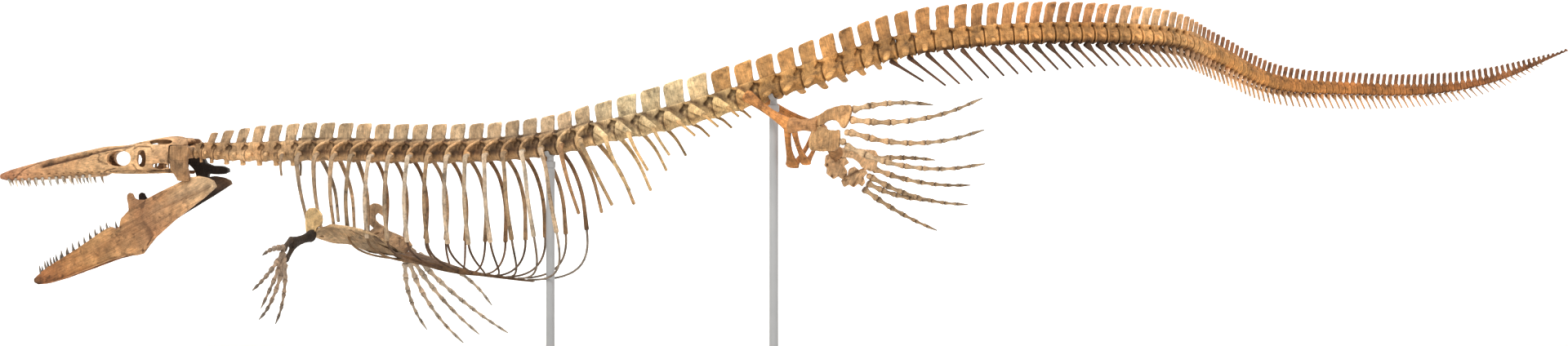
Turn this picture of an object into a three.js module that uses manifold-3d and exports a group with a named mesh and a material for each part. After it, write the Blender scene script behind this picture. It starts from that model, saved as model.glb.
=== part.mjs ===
// A mosasaur skeleton (Tylosaurus) at life size, mounted as if swimming, on a base with two rods.
// Millimetres, +Z up. The snout points to -X, the tail to +X, and the animal's left side to -Y.
// The origin is the middle of the base's underside.
import * as THREE from "three";
import { mergeVertices } from "three/addons/utils/BufferGeometryUtils.js";
import Module from "manifold-3d";

const wasm = await Module();
wasm.setup();

// ---------- Driving dimensions ----------

const gap = 0.3; // air left between two pieces that touch
const datumHeight = 80; // the bones' heights below are measured from a plane this far above the floor
const vertebraCount = 130;

// The line through the centra, from the back of the skull to the tip of the tail.
const columnRoute = [
  [-2510, 800, 1155], [-2220, 750, 1140], [-1710, 570, 1140], [-1220, 380, 1130],
  [-750, 200, 1135], [-385, 60, 1170], [-120, -30, 1230], [265, -170, 1305],
  [640, -300, 1410], [1000, -410, 1525], [1370, -500, 1635], [1745, -540, 1685],
  [2140, -530, 1705], [2530, -430, 1705], [2790, -240, 1695], [3060, 100, 1640],
  [3465, 480, 1525], [3920, 640, 1500], [4385, 680, 1500], [4725, 620, 1560],
  [5070, 500, 1710],
];

// Sizes along the column, as [vertebra number, millimetres]; between two of them they run straight.
const pitchKeys = [
  [1, 46], [2, 70], [3, 96], [5, 108], [8, 116], [12, 122], [16, 116], [19, 109], [23, 108],
  [25, 137], [28, 137], [30, 120], [34, 106], [36, 86], [39, 92], [42, 72], [45, 66], [52, 62],
  [58, 62], [64, 55], [80, 43], [95, 36], [115, 31], [130, 21],
];
const centrumKeys = [
  [1, 34], [3, 36], [8, 40], [30, 43], [36, 42], [44, 44], [60, 46], [70, 44], [78, 37],
  [88, 32], [100, 28], [110, 22], [120, 15], [127, 8], [130, 4],
];
const archKeys = [
  [1, 50], [8, 68], [30, 66], [36, 60], [44, 50], [60, 48], [70, 46], [78, 38], [88, 32],
  [100, 27], [110, 21], [120, 14], [127, 8], [130, 4],
];
const spineTopKeys = [
  [1, 60], [2, 122], [3, 140], [5, 168], [8, 180], [18, 172], [24, 176], [27, 203], [29, 195],
  [32, 181], [39, 185], [44, 168], [52, 156], [58, 143], [65, 125], [75, 120], [85, 103],
  [105, 96], [112, 82], [118, 60], [124, 32], [128, 12],
];
// How much of its vertebra's length the top of a spine takes up.
const spineLengthKeys = [[2, 0.5], [6, 0.62], [8, 0.78], [30, 0.76], [50, 0.74], [60, 0.6]];
// How far a spine's top lies behind its foot.
const spineLeanKeys = [
  [2, 30], [4, 40], [8, 30], [12, 14], [30, 12], [38, 4], [44, 34], [56, 40], [66, 14], [128, 4],
];
const spineFootShare = 0.8; // its length at the foot, as a share of that at the top
const spineTopThick = 18; // in the neck and trunk; tail spines thin to an edge
const chevronKeys = [
  [37, 199], [38, 240], [39, 228], [40, 205], [44, 188], [50, 160], [56, 156], [62, 130],
  [70, 104], [80, 88], [92, 92], [104, 74], [112, 58], [118, 38], [124, 14],
];
// The share of a chevron's length that goes backwards.
const chevronLeanKeys = [
  [37, 0.68], [40, 0.58], [50, 0.7], [60, 0.76], [70, 0.62], [80, 0.46], [124, 0.5],
];
const processReachKeys = [
  [3, 62], [8, 78], [30, 78], [31, 120], [33, 190], [38, 170], [41, 115], [48, 82], [58, 52],
];
const processDroop = 0.24; // how much the blades behind the pelvis drop, as a share of their reach
const processRidge = 12; // a process's half-height above its middle
const processKeel = 16;
const firstKeeled = 3;
const lastKeeled = 7;
const keel = { thick: 26, deep: 44 };
const lastProcess = 52;
const lastThickSpine = 38;
const firstChevron = 37;
const lastChevron = 124;
const lastSpine = 127;
const lastWaistedVertebra = 56; // past it the centra are a plain tapering bar, ringed every few
const plainRingEvery = 4;

// Ribs: half the chest's width, how far a rib sweeps back, and how deep the chest is.
const firstLongRib = 11;
const lastLongRib = 21;
const sacralNumber = 30;
const ribReachKeys = [[11, 168], [14, 178], [17, 172], [19, 152], [21, 130]];
const ribSweepKeys = [[11, 50], [14, 60], [19, 72], [21, 86]];
const ribBoneDepthKeys = [[11, 430], [13, 450], [17, 465], [21, 440]];
const freeRibNumbers = [7, 8, 9, 10, 22, 23, 24, 25, 26, 27, 28, 29];
const freeRibLengthKeys = [
  [7, 120], [8, 345], [9, 385], [10, 395], [22, 385], [23, 400], [24, 350], [25, 262], [26, 205],
  [27, 156], [28, 140], [29, 112],
];
// The share of a free rib's length that goes backwards.
const freeRibBackKeys = [
  [7, 0.05], [8, 0.2], [9, 0.24], [10, 0.16], [22, 0.14], [23, 0.3], [25, 0.45], [26, 0.5],
  [27, 0.7], [29, 0.68],
];
const ribBoneShare = 0.64; // of a long rib's length; the rest is cartilage
const ribHalf = { wide: 16, thick: 12 };
const cartilageHalf = 7;
// The cartilages of the first ribs pass over the coracoid; those further back sag.
const cartilageRise = 62;
const cartilageSag = 96;

// Across the body at the chest and the pelvis, to the animal's right, and along it to the tail.
const rightDirection = [0.36, 0.933, 0];
const backDirection = [0.933, -0.36, 0];

// Sternum: a shallow dish in front that narrows to a bar.
const sternumRoute = [[-1250, 402, 592], [-930, 285, 516], [-505, 112, 474]];
const sternumThick = 16;
const sternumDish = 14;
const sternumBarHalf = 14;
const sternumExtraHalf = 78;
const sternumDishShare = 0.45;

// Skull: [distance behind the tip of the snout, value]. Heights are above the datum.
const skullLength = 1095; // to the back of the cheeks; the roof is shorter
const roofLength = 1010;
const snoutX = -3615;
const skullMidY = 800;
const skullHalfWidthKeys = [
  [0, 12], [30, 22], [100, 38], [280, 60], [460, 82], [600, 105], [740, 130], [830, 145],
  [920, 156], [1010, 166], [1100, 170],
];
const skullTopKeys = [
  [0, 1034], [30, 1047], [100, 1070], [280, 1118], [460, 1160], [600, 1190], [740, 1198],
  [830, 1220], [920, 1240], [1010, 1250], [1095, 1240],
];
const skullBottomKeys = [
  [0, 1006], [30, 998], [100, 997], [280, 1002], [460, 1012], [600, 1022], [740, 1027],
  [1010, 1027],
];
const skullWall = 24;
const skullInsideFrom = 560;
const quadrateTop = 1194;
// Openings: an oval is its middle and half-sizes, a rectangle is its two corners.
const orbitOval = [716, 1120, 70, 44];
const backWindow = [828, 1072, 876, 1168];
const cheekSlot = [914, 1066, 996, 1096];
const archGapOutline = [[850, 1196], [1020, 1204], [1000, 1228], [890, 1210]];
const roofOval = { back: 885, out: 76, long: 86, wide: 44 };
const nostril = { back: 390, out: 78, height: 1146, long: 124, wide: 15, slope: 0.2, splay: 0.5 };
const crestOutline = [[892, 1140], [1005, 1140], [1005, 1244], [892, 1230]];
const crestThick = 28;
const cheekNotch = { back: 1070, out: 160, long: 220, wide: 84, high: 120 };
const sideBar = { half: 26, path: [[1050, 20, 1165], [1058, 90, 1192], [1064, 152, 1214]] };
const toothCount = 13;
const toothLength = 44;
const lowerToothLength = 60;
const toothRadius = 9;
const toothPitch = 40;
const firstUpperTooth = 58;
const lowerToothPitch = 39;
const firstLowerTooth = 676;

// Mandible: [distance from its back end, height] round one side's outline, in its own plane.
const jawBack = [-2365, 655, 992];
const jawTip = [-3414, 790, 442];
const jawThick = 40;
const jawSeat = 86; // height of the flat under the quadrate
const jawOutline = [
  [0, -34], [163, -66], [300, -88], [440, -118], [548, -170], [590, -158], [650, -131],
  [735, -111], [838, -99], [941, -87], [1043, -75], [1141, -55], [1200, -20], [1200, 4],
  [1094, 25], [869, 36], [750, 50], [650, 52], [622, 16], [577, 66], [513, 84], [486, 160],
  [468, 172], [427, 117], [400, 92], [300, 94], [215, jawSeat], [110, jawSeat], [20, 40],
];

const jawTopKeys = [[650, 52], [750, 50], [869, 36], [1094, 25], [1200, 4]];

// Quadrate: its outline in X and Z, thickness, place out from the middle, and place on the jaw.
const quadrateOutline = [
  [-2550, 960], [-2495, 960], [-2500, 1040], [-2514, 1090], [-2504, 1150], [-2506, quadrateTop - gap],
  [-2592, quadrateTop - gap], [-2594, 1162], [-2566, 1125], [-2556, 1050],
];
const quadrateThick = 42;
const quadrateOut = 140;
const quadrateSeatFrom = 160;

// Limbs: joint centres, and the paddles' own axes. A digit is [root along, root across, length,
// direction at its root, direction at its tip], in millimetres and degrees.
const limbs = {
  fore_left: {
    socket: [-1700, 270, 710], elbow: [-1762, 100, 672], wrist: [-1769, 10, 624],
    axis: [-0.043, -0.787, -0.616], across: [-0.025, 0.617, -0.786], lateral: -1,
    names: ["humerus_left", "radius_left", "ulna_left", "manus_left"],
    girth: 44, spread: 52,
    digits: [
      [8, -46, 318, -44, -24], [30, -25, 462, -12, -24], [35, 2, 385, 2, -4],
      [35, 25, 446, 24, -24], [30, 46, 345, 72, -8],
    ],
  },
  fore_right: {
    socket: [-1440, 710, 705], elbow: [-1385, 850, 635], wrist: [-1348, 940, 568],
    axis: [0.568, 0.32, -0.758], across: [0.816, -0.097, 0.57], lateral: 1,
    names: ["humerus_right", "radius_right", "ulna_right", "manus_right"],
    girth: 44, spread: 52,
    digits: [
      [25, -45, 440, -40, -4], [35, -22, 595, -22, 8], [40, 2, 595, -8, 10],
      [40, 28, 700, 2, 18], [30, 48, 535, 38, -8],
    ],
  },
  hind_left: {
    socket: [830, -540, 1270], elbow: [960, -680, 1268], wrist: [1074, -780, 1246],
    axis: [0.947, -0.317, -0.059], across: [-0.087, -0.074, -0.993], lateral: -1,
    names: ["femur_left", "tibia_left", "fibula_left", "pes_left"],
    girth: 50, spread: 92,
    shins: [
      [
        [-180, -50], [-140, -64], [-96, -91], [-56, -103], [-17, -110], [20, -112], [20, -14],
        [-22, -24], [-67, -43], [-109, -21], [-180, -12],
      ],
      [
        [-180, 0], [-129, -12], [-71, 6], [20, 4], [20, 86], [-38, 106], [-166, 105], [-190, 60],
      ],
    ],
    digits: [
      [40, -92, 388, -18, 6], [34, -44, 640, 6, -30], [34, 14, 650, 16, -24],
      [20, 78, 680, 24, -16],
    ],
  },
  hind_right: {
    socket: [975, -160, 1265], elbow: [1075, -40, 1130], wrist: [1213, 20, 1040],
    axis: [0.898, 0.335, -0.285], across: [-0.357, 0.175, -0.918], lateral: 1,
    names: ["femur_right", "tibia_right", "fibula_right", "pes_right"],
    girth: 50, spread: 92,
    shins: [
      [
        [-200, -70], [-120, -98], [-50, -116], [20, -130], [20, -22], [-25, -24], [-67, -44],
        [-120, -52], [-200, -46],
      ],
      [
        [-200, -40], [-102, -31], [-84, -4], [20, -18], [20, 80], [-92, 100], [-184, 64],
      ],
    ],
    digits: [
      [30, -90, 330, -22, -10], [40, -36, 560, 4, -20], [42, 10, 585, 12, -16],
      [38, 46, 392, 10, -16], [30, 80, 490, 18, 4],
    ],
  },
};

const shinThick = 24;
const palm = { from: -10, to: 72, wide: 1.12, thick: 0.36 };
const digitHalf = { root: 21, tip: 10, flatness: 0.72 };
const digitSteps = 4;

// How far a girdle's outer face lies outside its joint.
const shoulderFace = 11;
const hipFace = 18;

// Shoulder girdle: outlines as [back, up] and [back, in towards the midline] from the joint.
const scapulaOutline = [
  [-34, -10], [26, -10], [24, 40], [40, 66], [66, 78], [68, 104], [34, 138], [-14, 148],
  [-52, 132], [-60, 94], [-36, 50],
];
const coracoidOutline = [
  [-46, -90], [40, -90], [62, -22], [140, 10], [240, 50], [330, 150], [400, 330],
  [40, 330], [-30, 220], [-64, 110], [-50, 10],
];
const scapulaThick = 26;
const coracoidThick = 20;
const coracoidForamen = [10, 10, 14, 18];
const coracoidSlope = 0.08; // how much the coracoid falls away towards the sternum, per length
const coracoidInset = 50; // how far inside the shoulder joint the coracoid lies level with it
const shoulderSeam = 18; // how far above the shoulder joint the scapula meets the coracoid

// Pelvis.
const pubicSymphysis = [845, -330, 1070];
const ischialSymphysis = [910, -356, 1085];
const pubisEnd = 46;
const ischiumEnd = 42;
const iliumHalf = { end: 38, middle: 22 };

const baseSize = { x: 3400, y: 1500, z: 60 };
const rodRadius = 22;
const rodSides = 12;
const frontRodVertebra = 21;
const rearRodVertebra = 31;

const boneTan = 0xb89a72;
const boneRust = 0xa9743f;
const boneDark = 0x7a4a2a;
const steelGrey = 0x3a3c40;

// ---------- Helpers ----------

const vector = (x, y, z) => new THREE.Vector3(x, y, z);
const at = (triple) => new THREE.Vector3(...triple);

// The value at a place between [place, value] pairs.
function keyed(keys, place) {
  const next = keys.findIndex(([edge]) => edge >= place);
  if (next === 0) return keys[0][1];
  if (next < 0) return keys[keys.length - 1][1];
  const [before, low] = keys[next - 1];
  const [after, high] = keys[next];
  return low + ((high - low) * (place - before)) / (after - before);
}

function toSolid(geometry) {
  const bare = geometry.clone();
  bare.deleteAttribute("normal");
  bare.deleteAttribute("uv");
  const merged = mergeVertices(bare, 1e-3);
  return new wasm.Manifold(
    new wasm.Mesh({
      numProp: 3,
      vertProperties: new Float32Array(merged.attributes.position.array),
      triVerts: new Uint32Array(merged.index.array),
    }),
  );
}

const join = (solids) => solids.reduce((whole, solid) => whole.add(solid));

// Moves every corner of a geometry to where the function says.
function shaped(geometry, move) {
  const corners = geometry.getAttribute("position");
  for (let n = 0; n < corners.count; n += 1) {
    const moved = move(vector(corners.getX(n), corners.getY(n), corners.getZ(n)));
    corners.setXYZ(n, moved.x, moved.y, moved.z);
  }
  return geometry;
}

// A closed tube through a list of rings: frames holds each ring's matrix (X along the tube), and
// section gives the corner (y, z) of ring k for a point on the unit circle. With flatTop the top is
// a flat side rather than a ridge.
function tube(frames, sides, section, flatTop = false) {
  const steps = frames.length - 1;
  const turn = flatTop ? Math.PI / sides : 0;
  const drum = new THREE.CylinderGeometry(1, 1, 1, sides, steps, false, turn);
  return toSolid(
    shaped(drum, (p) => {
      const ring = Math.round((0.5 - p.y) * steps);
      const [y, z] = section(ring, p.x, p.z);
      return vector(0, y, z).applyMatrix4(frames[ring]);
    }),
  );
}

// The matrix at a point, X along the direction and Y as near as it can be to the facing vector.
function frameAt(point, direction, facing) {
  const along = direction.clone().normalize();
  const up = along.clone().cross(facing).normalize();
  const across = up.clone().cross(along);
  return new THREE.Matrix4().makeBasis(along, across, up).setPosition(point);
}

// A bone along a smooth path: wide is its half-width towards facing, thick its other half-width.
function bone({ path, steps, sides = 6, facing, wide, thick = wide }) {
  const curve = new THREE.CatmullRomCurve3(path, false, "catmullrom", 0.5);
  const frames = Array.from({ length: steps + 1 }, (_, k) =>
    frameAt(curve.getPointAt(k / steps), curve.getTangentAt(k / steps), facing),
  );
  return tube(frames, sides, (k, y, z) => [y * wide(k / steps), z * thick(k / steps)]);
}

// A long bone's half-width: swollen at both ends and slim in the middle.
const hourglass = (end, middle) => (t) => middle + (end - middle) * (2 * t - 1) ** 2;

// Takes away all that lies past a plane, on the side its normal points to.
function cutPast(solid, point, normal) {
  const size = 6000;
  const block = new THREE.BoxGeometry(size, size, size).translate(size / 2, 0, 0);
  const facing = Math.abs(normal.z) > 0.9 ? vector(0, 1, 0) : vector(0, 0, 1);
  return solid.subtract(toSolid(block.applyMatrix4(frameAt(point, normal, facing))));
}

// A plate with an outline in X and Y, and its thickness spread evenly about Z = 0.
function plate(outline, thickness) {
  const shape = new THREE.Shape(outline.map(([x, y]) => new THREE.Vector2(x, y)));
  const flat = new THREE.ExtrudeGeometry(shape, { depth: thickness, bevelEnabled: false });
  return flat.translate(0, 0, -thickness / 2);
}

const root = new THREE.Group();

function addNode(name, source, colour) {
  const metal = name.startsWith("stand_");
  const solid = metal ? source : source.translate([0, 0, datumHeight]);
  const { vertProperties, triVerts } = solid.getMesh();
  const geometry = new THREE.BufferGeometry();
  geometry.setAttribute("position", new THREE.BufferAttribute(vertProperties, 3));
  geometry.setIndex(new THREE.BufferAttribute(triVerts, 1));
  geometry.computeVertexNormals();
  const finish = { color: colour, roughness: metal ? 0.45 : 0.8, metalness: metal ? 0.6 : 0 };
  const mesh = new THREE.Mesh(geometry, new THREE.MeshStandardMaterial(finish));
  mesh.name = name;
  root.add(mesh);
}

// ---------- The column's line and its vertebrae ----------

const columnLine = new THREE.CatmullRomCurve3(columnRoute.map(at), false, "catmullrom", 0.5);
columnLine.arcLengthDivisions = 1200;
const columnLength = columnLine.getLength();

// The frame at a distance down the column: X towards the tail, Y to the animal's right, Z up.
function station(distance) {
  const share = Math.min(Math.max(distance / columnLength, 0), 1);
  const back = columnLine.getTangentAt(share);
  const right = vector(0, 0, 1).cross(back).normalize();
  const up = back.clone().cross(right);
  return new THREE.Matrix4().makeBasis(back, right, up).setPosition(columnLine.getPointAt(share));
}

const rawPitches = Array.from({ length: vertebraCount }, (_, n) => keyed(pitchKeys, n + 1));
const stretch = columnLength / rawPitches.reduce((sum, pitch) => sum + pitch, 0);
const vertebrae = [];
let reached = 0;
rawPitches.forEach((raw, n) => {
  const number = n + 1;
  const pitch = raw * stretch;
  vertebrae.push({
    number,
    start: reached,
    pitch,
    frame: station(reached + pitch / 2),
    radius: keyed(centrumKeys, number),
    arch: keyed(archKeys, number),
  });
  reached += pitch;
});
const vertebra = (number) => vertebrae[number - 1];

// The centra of a length of the column as one four-sided bar, narrowest at each joint.
function centra(first, last) {
  const frames = [];
  const rings = [];
  const addRing = (distance, { radius, arch }, share) => {
    frames.push(station(distance));
    rings.push({ down: radius * share, up: arch * share, out: radius * share });
  };
  vertebrae.slice(first - 1, last).forEach((each) => {
    const opening = each.number === first ? gap / 2 : 0;
    const plain = each.number > lastWaistedVertebra;
    if (plain && (each.number - first) % plainRingEvery) return;
    addRing(each.start + opening, each, plain ? 0.95 : 0.78);
    if (!plain) addRing(each.start + 0.08 * each.pitch, each, 1);
  });
  const end = vertebra(last);
  addRing(end.start + end.pitch - gap / 2, end, 0.8);
  const corner = Math.SQRT1_2;
  const section = (k, y, z) => {
    const { down, up, out } = rings[k];
    return [(y * out) / corner, ((z > 0 ? up : down) * z) / corner];
  };
  return tube(frames, 4, section, true);
}

// A plate-like neural spine that grows out of the arch and leans back. In the tail it thins to an
// edge at the top.
function neuralSpine({ number, pitch, frame, arch }) {
  const top = keyed(spineTopKeys, number);
  const foot = arch * 0.55;
  const lean = keyed(spineLeanKeys, number);
  const longTop = pitch * keyed(spineLengthKeys, number);
  const longFoot = longTop * spineFootShare;
  const thickFoot = Math.max(16, arch * 0.46);
  const thickTop = number > lastThickSpine ? 0 : spineTopThick;
  const profile = [[-thickFoot / 2, 0], [thickFoot / 2, 0]];
  if (thickTop) profile.push([thickTop / 2, 1], [-thickTop / 2, 1]);
  else profile.push([0, 1]);
  return toSolid(
    shaped(plate(profile, 1), (p) => {
      const long = longFoot + (longTop - longFoot) * p.y;
      const height = foot + (top - foot) * p.y;
      return vector(p.z * long + lean * (p.y - 0.35), p.x, height).applyMatrix4(frame);
    }),
  );
}

// The two transverse processes as one three-sided bar through the centrum: stubs for ribs in the
// trunk, long drooping blades behind the pelvis.
function transverseProcesses({ number, pitch, frame }) {
  const reach = keyed(processReachKeys, number);
  const droops = number > sacralNumber;
  const droop = droops ? reach * processDroop : 0;
  const half = (pitch * (droops ? 0.44 : 0.5)) / 2;
  const shape = new THREE.Shape([
    new THREE.Vector2(-half, processRidge),
    new THREE.Vector2(0, -processKeel),
    new THREE.Vector2(half, processRidge),
  ]);
  const settings = { depth: 2 * reach, steps: droops ? 2 : 1, bevelEnabled: false };
  const bar = new THREE.ExtrudeGeometry(shape, settings).translate(0, 0, -reach);
  return toSolid(
    shaped(bar, (p) => vector(p.x, -p.z, p.y + 4 - (droop * Math.abs(p.z)) / reach).applyMatrix4(frame)),
  );
}

// A chevron: a slim rod under a tail vertebra, slanting back.
function chevron({ number, pitch, frame, radius }) {
  const long = keyed(chevronKeys, number);
  const lean = keyed(chevronLeanKeys, number);
  const thick = Math.max(3.5, radius * 0.2);
  const down = Math.sqrt(1 - lean * lean);
  const rod = new THREE.ConeGeometry(thick * 1.2, 1, 3, 1);
  return toSolid(
    shaped(rod, (p) => {
      const far = 0.5 + p.y;
      const back = lean * long * far + p.x - 0.04 * pitch;
      const drop = radius * 0.5 + (down * long + radius * 0.35) * far;
      return vector(back, p.z, -drop).applyMatrix4(frame);
    }),
  );
}

// A keel under a neck vertebra.
function hypapophysis({ frame, pitch, radius }) {
  const block = new THREE.BoxGeometry(pitch * 0.36, keel.thick, keel.deep);
  return toSolid(block.translate(pitch * 0.12, 0, -radius - 12).applyMatrix4(frame));
}

// A rib that ends free, as a curved rod swinging out, back and down from its vertebra.
function freeRib({ frame, number }, side) {
  const long = keyed(freeRibLengthKeys, number);
  const reach = keyed(processReachKeys, number) - 12;
  const back = keyed(freeRibBackKeys, number) * long;
  const down = -Math.sqrt(long * long - back * back);
  const path = [
    vector(0, side * reach, 2),
    vector(0.14 * back, side * (reach + 0.12 * long), 0.08 * down),
    vector(0.62 * back, side * (reach + 0.22 * long), 0.48 * down),
    vector(back, side * (reach + 0.18 * long), 0.97 * down),
  ].map((p) => p.applyMatrix4(frame));
  const thick = Math.min(11, 7 + long * 0.01);
  const steps = Math.max(2, Math.round(long / 120));
  return bone({
    path, steps, sides: 3, facing: vector(1, 0, 0), wide: (t) => thick * (1.2 - 0.5 * t),
    thick: (t) => thick * (0.85 - 0.3 * t),
  });
}

function columnNode(name, first, last, colour) {
  const pieces = [centra(first, last)];
  vertebrae.slice(first - 1, last).forEach((each) => {
    const { number } = each;
    if (number > 1 && number <= lastSpine) pieces.push(neuralSpine(each));
    if (number >= firstKeeled && number <= lastKeeled) pieces.push(hypapophysis(each));
    if (number >= firstKeeled && number <= lastProcess) pieces.push(transverseProcesses(each));
    if (freeRibNumbers.includes(number)) pieces.push(freeRib(each, -1), freeRib(each, 1));
    if (number >= firstChevron && number <= lastChevron) pieces.push(chevron(each));
  });
  const whole = join(pieces);
  addNode(name, whole, colour);
  return whole;
}

columnNode("neck", 1, 7, boneTan);
columnNode("trunk_front", 8, 15, boneTan);
const overFrontRod = columnNode("trunk_middle", 16, 22, boneTan);
columnNode("trunk_rear", 23, 30, boneTan);
const overRearRod = columnNode("tail_base", 31, 38, boneRust);
columnNode("tail_front", 39, 50, boneRust);
columnNode("tail_middle", 51, 68, boneRust);
columnNode("tail_bend", 69, 86, boneDark);
columnNode("tail_rear", 87, 106, boneDark);
columnNode("tail_tip", 107, 130, boneDark);

// ---------- Rib cage: each side's ribs, their cartilages and half of the sternum ----------

const sternumLine = new THREE.CatmullRomCurve3(sternumRoute.map(at), false, "catmullrom", 0.5);
const bodyRight = at(rightDirection);
const sternumHalfWidth = (t) =>
  sternumBarHalf + sternumExtraHalf * Math.max(0, 1 - t / sternumDishShare) ** 0.7;

function halfSternum(side) {
  const steps = 6;
  const block = new THREE.BoxGeometry(1, 1, 1, steps, 1, 1);
  return toSolid(
    shaped(block, (p) => {
      const t = p.x + 0.5;
      const out = side * p.y + 0.5;
      const across = side * (gap / 2 + (sternumHalfWidth(t) - gap / 2) * out);
      const place = sternumLine.getPointAt(t).addScaledVector(bodyRight, across);
      place.z += sternumThick * p.z + sternumDish * out;
      return place;
    }),
  );
}

function longRib(each, side) {
  const { number, frame } = each;
  const reach = keyed(processReachKeys, number) + gap;
  const wide = keyed(ribReachKeys, number);
  const sweep = keyed(ribSweepKeys, number);
  const depth = keyed(ribBoneDepthKeys, number);
  const share = (number - firstLongRib) / (lastLongRib - firstLongRib);
  const landing = 0.1 + 0.86 * share;
  const foot = sternumLine.getPointAt(landing);
  const inward = sternumHalfWidth(landing) * 0.6;
  foot.addScaledVector(bodyRight, side * inward);
  foot.z += 6;
  const boneEnd = vector(sweep * 1.02, side * wide * 0.86, -depth).applyMatrix4(frame);
  const turn = boneEnd.clone().lerp(foot, 0.62);
  turn.addScaledVector(bodyRight, side * 0.2 * wide);
  turn.z += cartilageRise - cartilageSag * share;
  const path = [
    vector(0, side * reach, 2).applyMatrix4(frame),
    vector(0, side * (reach + 24), 2).applyMatrix4(frame),
    vector(sweep * 0.6, side * wide * 0.88, -0.24 * depth).applyMatrix4(frame),
    vector(sweep * 0.9, side * wide, -0.58 * depth).applyMatrix4(frame),
    boneEnd,
    turn,
    foot,
  ];
  return bone({
    path, steps: 7, sides: 3, facing: vector(1, 0, 0),
    wide: (t) => (t < ribBoneShare ? ribHalf.wide : cartilageHalf),
    thick: (t) => (t < ribBoneShare ? ribHalf.thick : cartilageHalf),
  });
}

[["ribs_left", -1], ["ribs_right", 1]].forEach(([name, side]) => {
  const long = vertebrae.slice(firstLongRib - 1, lastLongRib).map((each) => longRib(each, side));
  addNode(name, join([halfSternum(side), ...long]), boneTan);
});

// ---------- Skull ----------

const skullX = (back) => snoutX + back;
const onSkull = (outline) => outline.map(([back, height]) => [skullX(back), height]);

// A stretch of the skull's outer form, shrunk by a margin for its inside.
function skullForm(stations, sides, inset, floorDrop) {
  const frames = stations.map((back) =>
    new THREE.Matrix4().makeTranslation(skullX(back), skullMidY, 0),
  );
  const squared = (c) => Math.sign(c) * Math.abs(c) ** 0.75;
  return tube(frames, sides, (k, y, z) => {
    const back = stations[k];
    const top = keyed(skullTopKeys, back) - inset * 1.3;
    const bottom = keyed(skullBottomKeys, back) - floorDrop;
    const half = keyed(skullHalfWidthKeys, back) - inset;
    return [squared(y) * half, (top + bottom) / 2 + (squared(z) * (top - bottom)) / 2];
  });
}

// A hole right through the skull from side to side: its outline is in X and Z.
function sidePunch(outline, left, right) {
  const depth = right - left;
  const punch = plate(outline, depth).rotateX(Math.PI / 2);
  return toSolid(punch.translate(0, (left + right) / 2, 0));
}

function ovalOutline(centreX, centreZ, radiusX, radiusZ, sides) {
  return Array.from({ length: sides }, (_, n) => {
    const turn = (2 * Math.PI * n) / sides;
    return [centreX + radiusX * Math.cos(turn), centreZ + radiusZ * Math.sin(turn)];
  });
}

const rectangle = (x0, z0, x1, z1) => [[x0, z0], [x1, z0], [x1, z1], [x0, z1]];

function teeth(count, placeOf) {
  return Array.from({ length: count }, (_, n) => {
    const { foot, tip } = placeOf(n);
    const line = tip.clone().sub(foot);
    const cone = new THREE.ConeGeometry(toothRadius, line.length(), 3, 1);
    cone.rotateZ(-Math.PI / 2).translate(line.length() / 2, 0, 0);
    return toSolid(cone.applyMatrix4(frameAt(foot, line, vector(0, 1, 0))));
  });
}

const condyle = at(columnRoute[0]);
const columnStart = columnLine.getTangentAt(0);

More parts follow.
